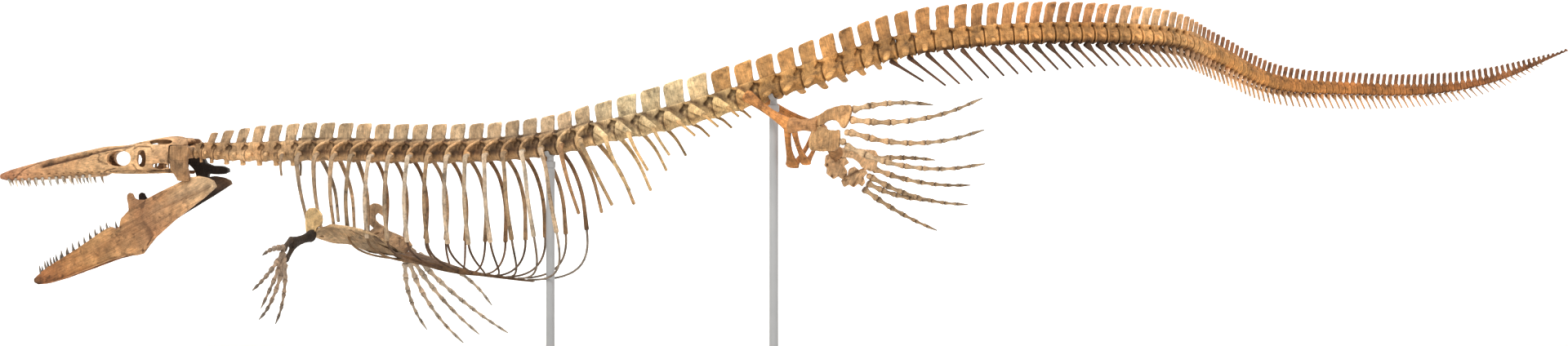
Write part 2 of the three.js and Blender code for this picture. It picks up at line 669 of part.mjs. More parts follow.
function buildSkull() {
  const wholeWidth = [skullMidY - 300, skullMidY + 300];
  let skull = skullForm([0, 30, 100, 460, 600, 740, 830, roofLength, skullLength], 10, 0, 0);
  const inside = [skullInsideFrom, skullInsideFrom + 80, 830, skullLength + 40];
  skull = skull.subtract(skullForm(inside, 6, skullWall, 260));

  // Orbits, the openings behind them, the gap under each upper arch, and the quadrates' bay.
  const openings = [
    ovalOutline(...orbitOval, 8),
    rectangle(...backWindow),
    rectangle(...cheekSlot),
    archGapOutline,
    rectangle(roofLength, 900, skullLength + 250, quadrateTop),
  ];
  openings.forEach((outline) => {
    skull = skull.subtract(sidePunch(onSkull(outline), ...wholeWidth));
  });
  const roofEnd = new THREE.BoxGeometry(200, 200, 400);
  skull = skull.subtract(toSolid(roofEnd.translate(skullX(roofLength + 100), skullMidY, 1200)));

  // Long nostril slits in the upper side of the muzzle, and the two openings in the skull's roof.
  [-1, 1].forEach((side) => {
    const slit = plate(ovalOutline(0, 0, nostril.long, nostril.wide, 4), 120);
    slit.rotateX(Math.PI / 2 - side * nostril.splay).rotateY(-nostril.slope);
    slit.translate(skullX(nostril.back), skullMidY + side * nostril.out, nostril.height);
    const middle = skullMidY + side * roofOval.out;
    const roof = plate(ovalOutline(skullX(roofOval.back), middle, roofOval.long, roofOval.wide, 8), 300);
    skull = skull.subtract(toSolid(slit)).subtract(toSolid(roof.translate(0, 0, 1330)));
  });

  // The braincase hangs from the middle of the roof and carries the condyle and two side bars.
  const braincase = bone({
    path: [vector(skullX(892), skullMidY, 1156), vector(skullX(990), skullMidY, 1158), condyle],
    steps: 2, facing: vector(0, 1, 0), wide: (t) => 34 + 14 * t, thick: (t) => 46 - 12 * t,
  });
  const crest = sidePunch(onSkull(crestOutline), skullMidY - crestThick / 2, skullMidY + crestThick / 2);
  const bars = [-1, 1].map((side) =>
    bone({
      path: sideBar.path.map(([back, out, height]) => vector(skullX(back), skullMidY + side * out, height)),
      steps: 2, sides: 4, facing: vector(1, 0, 0), wide: () => sideBar.half,
    }),
  );
  const notches = [-1, 1].map((side) => {
    const notch = new THREE.BoxGeometry(cheekNotch.long, cheekNotch.wide, cheekNotch.high);
    const middle = skullMidY + side * cheekNotch.out;
    return toSolid(notch.translate(skullX(cheekNotch.back), middle, quadrateTop - cheekNotch.high / 2));
  });
  const upperTeeth = [-1, 1].flatMap((side) =>
    teeth(toothCount, (n) => {
      const back = firstUpperTooth + n * toothPitch;
      const out = side * (keyed(skullHalfWidthKeys, back) - 14);
      const foot = vector(skullX(back), skullMidY + out, keyed(skullBottomKeys, back) + 26);
      return { foot, tip: foot.clone().add(vector(16, 0, -toothLength - 20)) };
    }),
  );
  const whole = join([skull, braincase, crest, ...bars, ...upperTeeth]).subtract(join(notches));
  const neckFace = condyle.clone().addScaledVector(columnStart, -gap / 2);
  return cutPast(whole, neckFace, columnStart);
}
addNode("skull", buildSkull(), boneRust);

// ---------- Lower jaw and quadrates ----------

function jawFrame(side) {
  const mirrorY = ([x, y, z]) => vector(x, skullMidY + (side < 0 ? y - skullMidY : skullMidY - y), z);
  const back = mirrorY(jawBack);
  const along = mirrorY(jawTip).sub(back).normalize();
  const up = vector(0, 0, 1).addScaledVector(along, -along.z).normalize();
  const across = along.clone().cross(up);
  return { back, along, up, matrix: new THREE.Matrix4().makeBasis(along, up, across).setPosition(back) };
}

function buildJaw(side) {
  const { matrix, along, up, back } = jawFrame(side);
  const flat = toSolid(plate(jawOutline, jawThick).applyMatrix4(matrix));
  const lowerTeeth = teeth(toothCount, (n) => {
    const place = firstLowerTooth + n * lowerToothPitch;
    const foot = back.clone().addScaledVector(along, place);
    foot.addScaledVector(up, keyed(jawTopKeys, place) - 14);
    return { foot, tip: foot.clone().addScaledVector(up, lowerToothLength).addScaledVector(along, -12) };
  });
  const middle = vector(jawTip[0], skullMidY + (side * gap) / 2, jawTip[2]);
  return cutPast(join([flat, ...lowerTeeth]), middle, vector(0, -side, 0));
}

function buildQuadrate(side) {
  const { up, along, back } = jawFrame(side);
  const middle = skullMidY + side * quadrateOut;
  const post = sidePunch(quadrateOutline, middle - quadrateThick / 2, middle + quadrateThick / 2);
  const seat = back.clone().addScaledVector(along, quadrateSeatFrom).addScaledVector(up, jawSeat + gap);
  return cutPast(post, seat, up.clone().negate());
}

[["left", -1], ["right", 1]].forEach(([word, side]) => {
  addNode(`mandible_${word}`, buildJaw(side), boneRust);
  addNode(`quadrate_${word}`, buildQuadrate(side), boneDark);
});

// ---------- Shoulder girdle ----------

const bodyBack = at(backDirection);
const sternumFront = sternumLine.getPointAt(0);

// Scapula over the shoulder joint: a fan with a hooked back corner. Coracoid under it: a broad fan
// that slopes in to the midline and back to the sternum.
function buildShoulder(side, socket) {
  const out = bodyRight.clone().multiplyScalar(side);
  const joint = at(socket);
  const outerFace = joint.clone().addScaledVector(out, shoulderFace);

  const scapulaFrame = new THREE.Matrix4();
  scapulaFrame.makeBasis(bodyBack, vector(0, 0, 1), bodyRight.clone().negate());
  scapulaFrame.setPosition(joint);
  const blade = toSolid(plate(scapulaOutline, scapulaThick).applyMatrix4(scapulaFrame));

  const origin = joint.clone().addScaledVector(out, -coracoidInset);
  const alongFan = bodyBack.clone().setZ(-coracoidSlope).normalize();
  const inward = sternumFront.clone().sub(origin);
  inward.addScaledVector(alongFan, -inward.dot(alongFan)).normalize();
  const plateNormal = alongFan.clone().cross(inward);
  const coracoidFrame = new THREE.Matrix4().makeBasis(alongFan, inward, plateNormal);
  coracoidFrame.setPosition(origin);
  const fan = toSolid(plate(coracoidOutline, coracoidThick).applyMatrix4(coracoidFrame));
  const hole = plate(ovalOutline(...coracoidForamen, 6), 3 * coracoidThick);
  const foramen = toSolid(hole.applyMatrix4(coracoidFrame));
  return { joint, outerFace, out, blade, fan: fan.subtract(foramen) };
}

[["left", -1], ["right", 1]].forEach(([word, side]) => {
  const { joint, outerFace, out, blade, fan } = buildShoulder(side, limbs[`fore_${word}`].socket);
  const seam = (lift) => joint.clone().add(vector(0, 0, shoulderSeam + lift));
  const scapula = cutPast(cutPast(blade, seam(gap / 2), vector(0, 0, -1)), outerFace, out);
  let coracoid = cutPast(cutPast(fan, seam(-gap / 2), vector(0, 0, 1)), outerFace, out);
  const midline = sternumFront.clone().addScaledVector(out, gap / 2);
  coracoid = cutPast(coracoid, midline, out.clone().negate());
  coracoid = cutPast(coracoid, sternumFront.clone().addScaledVector(bodyBack, -gap), bodyBack);
  addNode(`scapula_${word}`, scapula, boneTan);
  addNode(`coracoid_${word}`, coracoid, boneTan);
});

// ---------- Pelvis ----------

const sacral = vertebra(sacralNumber);

function buildPelvis(word, side) {
  const out = bodyRight.clone().multiplyScalar(side);
  const joint = at(limbs[`hind_${word}`].socket);
  const towardsKnee = at(limbs[`hind_${word}`].elbow).sub(joint).normalize().add(out).normalize();
  const outerFace = joint.clone().addScaledVector(towardsKnee, hipFace);
  const reach = keyed(processReachKeys, sacral.number);
  const hipTop = vector(34, side * (reach + 16), -2).applyMatrix4(sacral.frame);
  const sacralOut = vector(0, side, 0).transformDirection(sacral.frame);
  const sacralFace = vector(0, side * (reach + gap), 0).applyMatrix4(sacral.frame);

  const shaft = { steps: 3, sides: 5, facing: bodyBack };
  const ilium = bone({
    ...shaft,
    path: [
      hipTop.clone().add(vector(-24, 0, 10)),
      hipTop.clone().lerp(joint, 0.45).add(vector(0, 0, -8)),
      joint.clone().add(vector(0, 0, -12)),
    ],
    wide: hourglass(iliumHalf.end, iliumHalf.middle), thick: (t) => 17 + 20 * t ** 3,
  });
  const leg = (symphysis, end) =>
    bone({
      ...shaft,
      path: [
        joint.clone().add(vector(0, 0, 14)),
        joint.clone().lerp(at(symphysis), 0.5).addScaledVector(out, 26),
        at(symphysis).addScaledVector(out, -12),
      ],
      wide: (t) => end * (0.62 + 1.5 * (t - 0.45) ** 2),
      thick: (t) => 13 + 22 * (1 - t) ** 3,
    });
  const seam = (lift) => joint.clone().add(vector(0, 0, lift));
  const atSocket = (solid) => cutPast(solid, outerFace, towardsKnee);
  const upper = atSocket(cutPast(ilium, seam(gap / 2), vector(0, 0, -1)));
  const belowSeam = (solid) => atSocket(cutPast(solid, seam(-gap / 2), vector(0, 0, 1)));
  const atMidline = (solid, symphysis) =>
    cutPast(solid, at(symphysis).addScaledVector(out, gap / 2), out.clone().negate());
  const behind = joint.clone().addScaledVector(bodyBack, gap / 2);
  const ahead = joint.clone().addScaledVector(bodyBack, -gap / 2);
  const forward = bodyBack.clone().negate();
  const pubis = cutPast(belowSeam(leg(pubicSymphysis, pubisEnd)), ahead, bodyBack);
  const ischium = cutPast(belowSeam(leg(ischialSymphysis, ischiumEnd)), behind, forward);
  addNode(`ilium_${word}`, cutPast(upper, sacralFace, sacralOut.clone().negate()), boneRust);
  addNode(`pubis_${word}`, atMidline(pubis, pubicSymphysis), boneRust);
  addNode(`ischium_${word}`, atMidline(ischium, ischialSymphysis), boneRust);
}
buildPelvis("left", -1);
buildPelvis("right", 1);

// ---------- Limbs ----------

// A digit as one tapering rod that bends evenly from root to tip.
function digit({ origin, axis, across }, [along, side, length, startAngle, endAngle]) {
  const points = [origin.clone().addScaledVector(axis, along).addScaledVector(across, side)];
  for (let k = 0; k < digitSteps; k += 1) {
    const degrees = startAngle + ((endAngle - startAngle) * (k + 0.5)) / digitSteps;
    const angle = THREE.MathUtils.degToRad(degrees);
    const step = length / digitSteps;
    const next = points[k].clone().addScaledVector(axis, Math.cos(angle) * step);
    points.push(next.addScaledVector(across, Math.sin(angle) * step));
  }
  const frames = points.map((point, k) => {
    const before = points[Math.max(0, k - 1)];
    const after = points[Math.min(digitSteps, k + 1)];
    return frameAt(point, after.clone().sub(before), across);
  });
  return tube(frames, 3, (k, y, z) => {
    const size = digitHalf.root + ((digitHalf.tip - digitHalf.root) * k) / digitSteps;
    return [y * size, z * size * digitHalf.flatness];
  });
}

// The two bones between elbow and wrist are slim rods. Those of the shin are flat plates, whose
// outlines lie in the paddle's own plane but lean over to the knee.
function lowerBones({ knee, ankle, finAxis, finAcross, lowerLine, girth, spread, shins }) {
  if (shins) {
    const facing = finAxis.clone().cross(finAcross);
    const toKnee = knee.clone().sub(ankle);
    const lean = toKnee.dot(facing) / toKnee.dot(finAxis);
    const along = finAxis.clone().addScaledVector(facing, lean);
    const plane = new THREE.Matrix4().makeBasis(along, finAcross, facing).setPosition(ankle);
    return shins.map((outline) => toSolid(plate(outline, shinThick).applyMatrix4(plane)));
  }
  return [-1, 1].map((which) => {
    const top = knee.clone().addScaledVector(lowerLine, -14);
    const bottom = ankle.clone().addScaledVector(finAxis, 14);
    top.addScaledVector(finAcross, which * girth * 0.56);
    bottom.addScaledVector(finAcross, which * spread * 0.66);
    return bone({
      path: [top, bottom], steps: 2, sides: 5, facing: finAcross,
      wide: (t) => hourglass(girth * 0.5, girth * 0.3)(t) + (spread - girth) * 0.3 * t,
      thick: hourglass(girth * 0.4, girth * 0.28),
    });
  });
}

function buildLimb({ socket, elbow, wrist, axis, across, lateral, names, digits, girth, spread, shins }) {
  const joint = at(socket);
  const knee = at(elbow);
  const ankle = at(wrist);
  const finAxis = at(axis).normalize();
  const finAcross = at(across).addScaledVector(finAxis, -at(across).dot(finAxis)).normalize();
  const out = bodyRight.clone().multiplyScalar(lateral);
  const upperLine = knee.clone().sub(joint).normalize();
  const lowerLine = ankle.clone().sub(knee).normalize();
  const [upperName, firstName, secondName, paddleName] = names;

  const ends = [joint.clone().addScaledVector(upperLine, -10), knee.clone().addScaledVector(upperLine, 10)];
  const upper = bone({
    path: ends, steps: 2, facing: finAcross,
    wide: hourglass(girth * 1.15, girth * 0.58), thick: hourglass(girth * 0.7, girth * 0.46),
  });
  const outward = shins ? upperLine.clone().add(out).normalize() : out;
  const face = joint.clone().addScaledVector(outward, (shins ? hipFace : shoulderFace) + gap);
  const topped = cutPast(upper, face, outward.clone().negate());
  const kneeAbove = knee.clone().addScaledVector(lowerLine, -gap / 2);
  addNode(upperName, cutPast(topped, kneeAbove, lowerLine), boneDark);

  const kneeBelow = knee.clone().addScaledVector(lowerLine, gap / 2);
  const ankleAbove = ankle.clone().addScaledVector(finAxis, -gap / 2);
  const shafts = lowerBones({ knee, ankle, finAxis, finAcross, lowerLine, girth, spread, shins });
  [firstName, secondName].forEach((name, n) => {
    const below = cutPast(shafts[n], kneeBelow, lowerLine.clone().negate());
    addNode(name, cutPast(below, ankleAbove, finAxis), boneDark);
  });

  const palmBlock = bone({
    path: [palm.from, palm.to].map((far) => ankle.clone().addScaledVector(finAxis, far)),
    steps: 1, facing: finAcross, wide: () => spread * palm.wide, thick: () => girth * palm.thick,
  });
  const plane = { origin: ankle, axis: finAxis, across: finAcross };
  const paddle = join([palmBlock, ...digits.map((each) => digit(plane, each))]);
  const ankleBelow = ankle.clone().addScaledVector(finAxis, gap / 2);
  addNode(paddleName, cutPast(paddle, ankleBelow, finAxis.clone().negate()), boneDark);
}

Object.values(limbs).forEach(buildLimb);

// ---------- Stand ----------

const baseCentre = vector(0, 0, baseSize.z / 2);
const base = new THREE.BoxGeometry(baseSize.x, baseSize.y, baseSize.z).translate(...baseCentre);
addNode("stand_base", toSolid(base), steelGrey);

// A rod stands under a vertebra; its top is cut to the underside of the bone it carries.
function buildRod(name, number, carried) {
  const { frame, radius } = vertebra(number);
  const middle = vector(0, 0, -radius * 0.4).applyMatrix4(frame);
  const bottom = baseSize.z + gap;
  const top = middle.z + datumHeight;
  const rod = new THREE.CylinderGeometry(rodRadius, rodRadius, top - bottom, rodSides);
  rod.rotateX(Math.PI / 2).translate(middle.x, middle.y, (top + bottom) / 2);
  addNode(name, toSolid(rod).subtract(carried.translate([0, 0, datumHeight - gap])), steelGrey);
}
buildRod("stand_rod_front", frontRodVertebra, overFrontRod);
buildRod("stand_rod_rear", rearRodVertebra, overRearRod);

export default root;
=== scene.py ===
import bmesh
import bpy
import math
import random
import numpy as np
from mathutils import Matrix, Vector


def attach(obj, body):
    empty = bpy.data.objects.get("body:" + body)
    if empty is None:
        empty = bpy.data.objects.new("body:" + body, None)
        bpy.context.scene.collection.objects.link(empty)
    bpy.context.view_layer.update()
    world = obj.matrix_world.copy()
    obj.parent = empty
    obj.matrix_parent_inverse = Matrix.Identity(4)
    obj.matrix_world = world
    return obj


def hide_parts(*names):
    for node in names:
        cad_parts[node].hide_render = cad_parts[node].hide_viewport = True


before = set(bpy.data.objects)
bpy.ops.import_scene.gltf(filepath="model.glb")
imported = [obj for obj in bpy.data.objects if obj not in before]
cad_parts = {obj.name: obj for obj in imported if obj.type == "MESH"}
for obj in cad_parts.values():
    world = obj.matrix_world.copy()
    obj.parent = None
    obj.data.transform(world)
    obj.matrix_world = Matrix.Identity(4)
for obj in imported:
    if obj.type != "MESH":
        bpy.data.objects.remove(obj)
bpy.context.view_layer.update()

# Bones are shaped in millimetres, at heights above a datum, and moved to metres when finished.
mm = 0.001
datumHeight = 80
left, right = -1, 1
dice = random.Random(7)


# Small helpers.

def clearSelection():
    if bpy.context.mode != "OBJECT":
        bpy.ops.object.mode_set(mode="OBJECT")
    bpy.ops.object.select_all(action="DESELECT")


def makeActive(piece):
    clearSelection()
    piece.select_set(True)
    bpy.context.view_layer.objects.active = piece
    return piece


def applyModifier(piece, kind, **settings):
    makeActive(piece)
    modifier = piece.modifiers.new(kind.title(), kind)
    for key, value in settings.items():
        setattr(modifier, key, value)
    bpy.ops.object.modifier_apply(modifier=modifier.name)
    return piece


def joinPieces(pieces, name):
    makeActive(pieces[0])
    for piece in pieces[1:]:
        piece.select_set(True)
    bpy.ops.object.join()
    pieces[0].name = pieces[0].data.name = name
    return pieces[0]


def corners(mesh):
    flat = np.zeros(len(mesh.vertices) * 3, np.float32)
    mesh.vertices.foreach_get("co", flat)
    return flat.reshape(-1, 3).astype(float)


def moveCorners(mesh, places):
    mesh.vertices.foreach_set("co", np.asarray(places, np.float32).ravel())
    mesh.update()


def keyed(keys, place):
    return float(np.interp(place, [key[0] for key in keys], [key[1] for key in keys]))


def keyedColour(keys, place):
    # One colour for one place, or one for each of many places.
    return np.stack([
        np.interp(place, [key[0] for key in keys], [key[1][n] for key in keys]) for n in range(3)
    ], axis=-1)


def unit(vector):
    return np.asarray(vector, float) / np.linalg.norm(vector)


def smoothStep(values):
    t = np.clip(values, 0, 1)
    return t * t * (3 - 2 * t)


def shade(colour):
    # A colour given in 0 to 255, as the light it stands for.
    share = np.asarray(colour, float) / 255
    return np.where(share <= 0.04045, share / 12.92, ((share + 0.055) / 1.055) ** 2.4)


# Smooth lines.

def makeLine(points, divisions=1200):
    # A Catmull-Rom line through the points, with a table of its length.
    points = np.asarray(points, float)
    ends = [2 * points[0] - points[1], *points, 2 * points[-1] - points[-2]]
    share = np.linspace(0, len(points) - 1, divisions + 1)
    span = np.minimum(share.astype(int), len(points) - 2)
    t = (share - span)[:, None]
    before, start, end, after = (np.array([ends[n + step] for n in span]) for step in range(4))
    enter, leave = (end - before) / 2, (after - start) / 2
    places = (
        (2 * t**3 - 3 * t**2 + 1) * start + (t**3 - 2 * t**2 + t) * enter
        + (3 * t**2 - 2 * t**3) * end + (t**3 - t**2) * leave
    )
    reached = np.concatenate([[0], np.cumsum(np.linalg.norm(np.diff(places, axis=0), axis=1))])
    return {"places": places, "reached": reached, "length": reached[-1]}


def pointsOn(line, shares):
    wanted = np.clip(shares, 0, 1) * line["length"]
    return np.stack([np.interp(wanted, line["reached"], line["places"][:, n]) for n in range(3)], axis=-1)


def headingsOn(line, shares):
    step = 0.004
    ahead, behind = pointsOn(line, np.minimum(shares + step, 1)), pointsOn(line, np.maximum(shares - step, 0))
    heading = ahead - behind
    return heading / np.linalg.norm(heading, axis=1)[:, None]


# Bones as rods, plates and spools.

rodMasters = {}


def rodMaster(sides, rings):
    # One round bar, kept to be copied: a sphere primitive whose rings later slide along a line.
    if (sides, rings) not in rodMasters:
        clearSelection()
        bpy.ops.mesh.primitive_uv_sphere_add(segments=sides, ring_count=rings, radius=1)
        master = bpy.context.object
        places = corners(master.data)
        ring = np.arccos(np.clip(-places[:, 2], -1, 1)) / math.pi * rings
        turn = np.arctan2(places[:, 1], places[:, 0])
        rodMasters[sides, rings] = (master.data, np.rint(ring).astype(int), turn)
        bpy.data.objects.remove(master)
    return rodMasters[sides, rings]


def rod(path, wide, thick=None, facing=(1, 0, 0), sides=10, rings=14, blunt=0.55, dustyEnds=0, name="rod"):
    # wide is the half-width towards facing and thick the other one, each a function of the share along.
    thick = thick or wide
    mesh, ring, turn = rodMaster(sides, rings)
    mesh = mesh.copy()
    line = makeLine(path, 240)
    cap = min(0.12, 0.5 * max(wide(0), thick(0)) / line["length"])
    endCap = min(0.12, 0.5 * max(wide(1), thick(1)) / line["length"])
    shares = np.array([0, 0, *np.linspace(cap, 1 - endCap, rings - 3), 1, 1])
    grow = np.ones(rings + 1)
    grow[[0, rings]] = 0
    grow[[1, rings - 1]] = blunt
    along = headingsOn(line, shares)
    up = np.cross(along, np.asarray(facing, float))
    up /= np.linalg.norm(up, axis=1)[:, None]
    across = np.cross(up, along)
    wides = np.array([wide(s) for s in shares]) * grow
    thicks = np.array([thick(s) for s in shares]) * grow
    centre = pointsOn(line, shares)
    c, s = np.cos(turn)[:, None], np.sin(turn)[:, None]
    places = centre[ring] + across[ring] * c * wides[ring][:, None] + up[ring] * s * thicks[ring][:, None]
    moveCorners(mesh, places)
    grain = np.stack([shares[ring] * line["length"], c[:, 0] * wides[ring], s[:, 0] * thicks[ring]], axis=1)
    setGrain(mesh, grain)
    piece = bpy.data.objects.new(name, mesh)
    bpy.context.scene.collection.objects.link(piece)
    if dustyEnds:
        fromEnd = np.minimum(shares, 1 - shares)[ring] * line["length"]
        markDustAndShade(piece, dustyEnds * np.exp(-((fromEnd / 6) ** 2)))
    return piece


def hourglass(end, middle):
    return lambda share: middle + (end - middle) * (2 * share - 1) ** 2


def slab(outline, thick, name="slab"):
    # A plate: its outline lies in X and Z, and its thickness along Y.
    clearSelection()
    bpy.ops.mesh.primitive_circle_add(vertices=len(outline), radius=1, fill_type="NGON")
    piece = bpy.context.object
    for corner, (x, z) in zip(piece.data.vertices, outline):
        corner.co = (x, -thick / 2, z)
    bpy.ops.object.mode_set(mode="EDIT")
    bpy.ops.mesh.select_all(action="SELECT")
    bpy.ops.mesh.extrude_region_move(TRANSFORM_OT_translate={"value": (0, thick, 0)})
    bpy.ops.mesh.select_all(action="SELECT")
    bpy.ops.mesh.quads_convert_to_tris()
    bpy.ops.mesh.normals_make_consistent(inside=False)
    bpy.ops.object.mode_set(mode="OBJECT")
    piece.name = name
    return piece


def spool(profile, sides=20, name="spool"):
    # A turned body along X: a disc extruded and resized from ring to ring.
    clearSelection()
    (start, radius), *rest = profile
    quarter = math.pi / 2
    bpy.ops.mesh.primitive_circle_add(
        vertices=sides, radius=radius, fill_type="NGON", location=(start, 0, 0), rotation=(0, quarter, 0)
    )
    piece = bpy.context.object
    bpy.ops.object.mode_set(mode="EDIT")
    bpy.ops.mesh.select_all(action="SELECT")
    for place, nextRadius in rest:
        bpy.ops.mesh.extrude_region_move(TRANSFORM_OT_translate={"value": (place - start, 0, 0)})
        size = nextRadius / radius
        bpy.ops.transform.resize(value=(1, size, size), center_override=(place, 0, 0))
        start, radius = place, nextRadius
    bpy.ops.mesh.select_all(action="SELECT")
    bpy.ops.mesh.normals_make_consistent(inside=False)
    bpy.ops.object.mode_set(mode="OBJECT")
    bpy.ops.object.transform_apply(location=True, rotation=True, scale=True)
    piece.name = name
    return piece


def place(piece, matrix):
    piece.data.transform(Matrix(matrix) if not isinstance(matrix, Matrix) else matrix)
    return piece


def melt(pieces, voxel, smoothing, faces, name):
    # Joins overlapping shapes into one bone with soft transitions, and thins its mesh.
    whole = joinPieces(pieces, name)
    applyModifier(whole, "REMESH", mode="VOXEL", voxel_size=voxel)
    applyModifier(whole, "SMOOTH", factor=0.6, iterations=smoothing)
    count = sum(len(face.vertices) - 2 for face in whole.data.polygons)
    if count > faces:
        applyModifier(whole, "DECIMATE", ratio=faces / count)
    return whole


def roughen(piece, strength, size):
    # Real unevenness of the surface, pushed along the normals.
    texture = bpy.data.textures.new("unevenness", "CLOUDS")
    texture.noise_scale = size
    texture.noise_depth = 2
    applyModifier(
        piece, "DISPLACE", texture=texture, strength=strength, mid_level=0.5, texture_coords="LOCAL",
    )
    return piece


def nearLines(flat, lines, wide):
    # 1 on the lines and falling to 0 away from them.
    depth = np.zeros(len(flat))
    for line in lines:
        for start, end in zip(line, line[1:]):
            start, end = np.array(start, float), np.array(end, float)
            span = end - start
            share = np.clip(((flat - start) @ span) / max(span @ span, 1e-6), 0, 1)
            away = np.linalg.norm(flat - start - share[:, None] * span, axis=1)
            depth = np.maximum(depth, np.exp(-((away / wide) ** 2)))
    return depth


def carve(piece, lines, wide, deep, test=None, dustAndShade=0.7, around=False):
    # Presses narrow grooves along lines given in X and Z, seen from either side, and darkens them; at the jaw
    # joint and the nostril this darkening is painted shade.
    shape = corners(piece.data)
    normals = np.zeros(len(shape) * 3, np.float32)
    piece.data.vertices.foreach_get("normal", normals)
    normals = normals.reshape(-1, 3)
    depth = nearLines(shape[:, [0, 2]], lines, wide)
    facing = np.ones(len(shape)) if around else np.clip(np.abs(normals[:, 1]) * 1.6, 0, 1)
    if test is not None:
        facing = facing * test(shape)
    moveCorners(piece.data, shape - normals * (depth * facing * deep)[:, None])
    markDustAndShade(piece, depth * facing * dustAndShade)


def setGrain(mesh, grain):
    attribute = mesh.attributes.get("grain") or mesh.attributes.new("grain", "FLOAT_VECTOR", "POINT")
    attribute.data.foreach_set("vector", np.asarray(grain, np.float32).ravel())


def markDustAndShade(piece, amount):
    # Remembers where dust has settled and where shade is painted, in recesses, under bones and inside the
    # skull; tint darkens the bone there.
    mesh = piece.data
    attribute = mesh.attributes.get("dirt") or mesh.attributes.new("dirt", "FLOAT", "POINT")
    known = np.zeros(len(mesh.vertices), np.float32)
    attribute.data.foreach_get("value", known)
    attribute.data.foreach_set("value", np.maximum(known, np.asarray(amount, np.float32)))
    return piece


def tint(piece, colour, spread=0.07):
    # Stores a bone's colour, darkened where dust and painted shade were marked; colour is one colour or one
    # for each corner. Bones differ a little.
    mesh = piece.data
    lift = 1 + dice.uniform(-spread, spread)
    warm = 1 + dice.uniform(-spread, spread) * 0.35
    colours = np.ones((len(mesh.vertices), 4))
    colours[:, :3] = np.asarray(colour)
    colours[:, :3] *= np.array([lift * warm, lift, lift / warm])
    dirt = mesh.attributes.get("dirt")
    if dirt:
        amount = np.zeros(len(mesh.vertices), np.float32)
        dirt.data.foreach_get("value", amount)
        colours[:, :3] *= 1 - 0.86 * amount[:, None] * np.array([0.94, 1.0, 1.04])
    colours[:, 3] = dice.random()
    attribute = mesh.attributes.get("tone") or mesh.attributes.new("tone", "FLOAT_COLOR", "POINT")
    attribute.data.foreach_set("color", colours.astype(np.float32).ravel())
    if not mesh.attributes.get("grain"):
        setGrain(mesh, corners(mesh))
    return piece


def finishBone(piece, name, material, slot, *nodes):
    # To metres, smooth shading, its finish, and its place in the model.
    makeActive(piece)
    piece.data.transform(Matrix.Translation((0, 0, datumHeight * mm)) @ Matrix.Scale(mm, 4))
    piece.data.materials.clear()
    piece.data.materials.append(material)
    bpy.ops.object.shade_smooth_by_angle(angle=math.radians(50))
    piece.name = piece.data.name = name
    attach(piece, "root")
    if nodes:
        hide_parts(*nodes)
    return piece


# Bone finish.

boneLook = {
    "patchSize": 6.0, "mottleSize": 34.0, "speckSize": 190.0, "stainSize": 19.0, "crackSize": 21.0,
    "darkPatch": 0.64, "lightPatch": 1.38, "mottle": 0.44, "streak": 0.3, "stain": 0.52, "grime": 0.76,
    "grimeReach": 0.075, "bump": 0.65, "bumpDepth": 0.006, "roughness": 0.62,
}


def nodeMaker(material):
    tree = material.node_tree
    tree.nodes.clear()

    def make(kind, inputs=None, **settings):
        node = tree.nodes.new(kind)
        for key, value in settings.items():
            setattr(node, key, value)
        for key, value in (inputs or {}).items():
            if isinstance(value, bpy.types.NodeSocket):
                tree.links.new(value, node.inputs[key])
            else:
                node.inputs[key].default_value = value
        return node

    return make


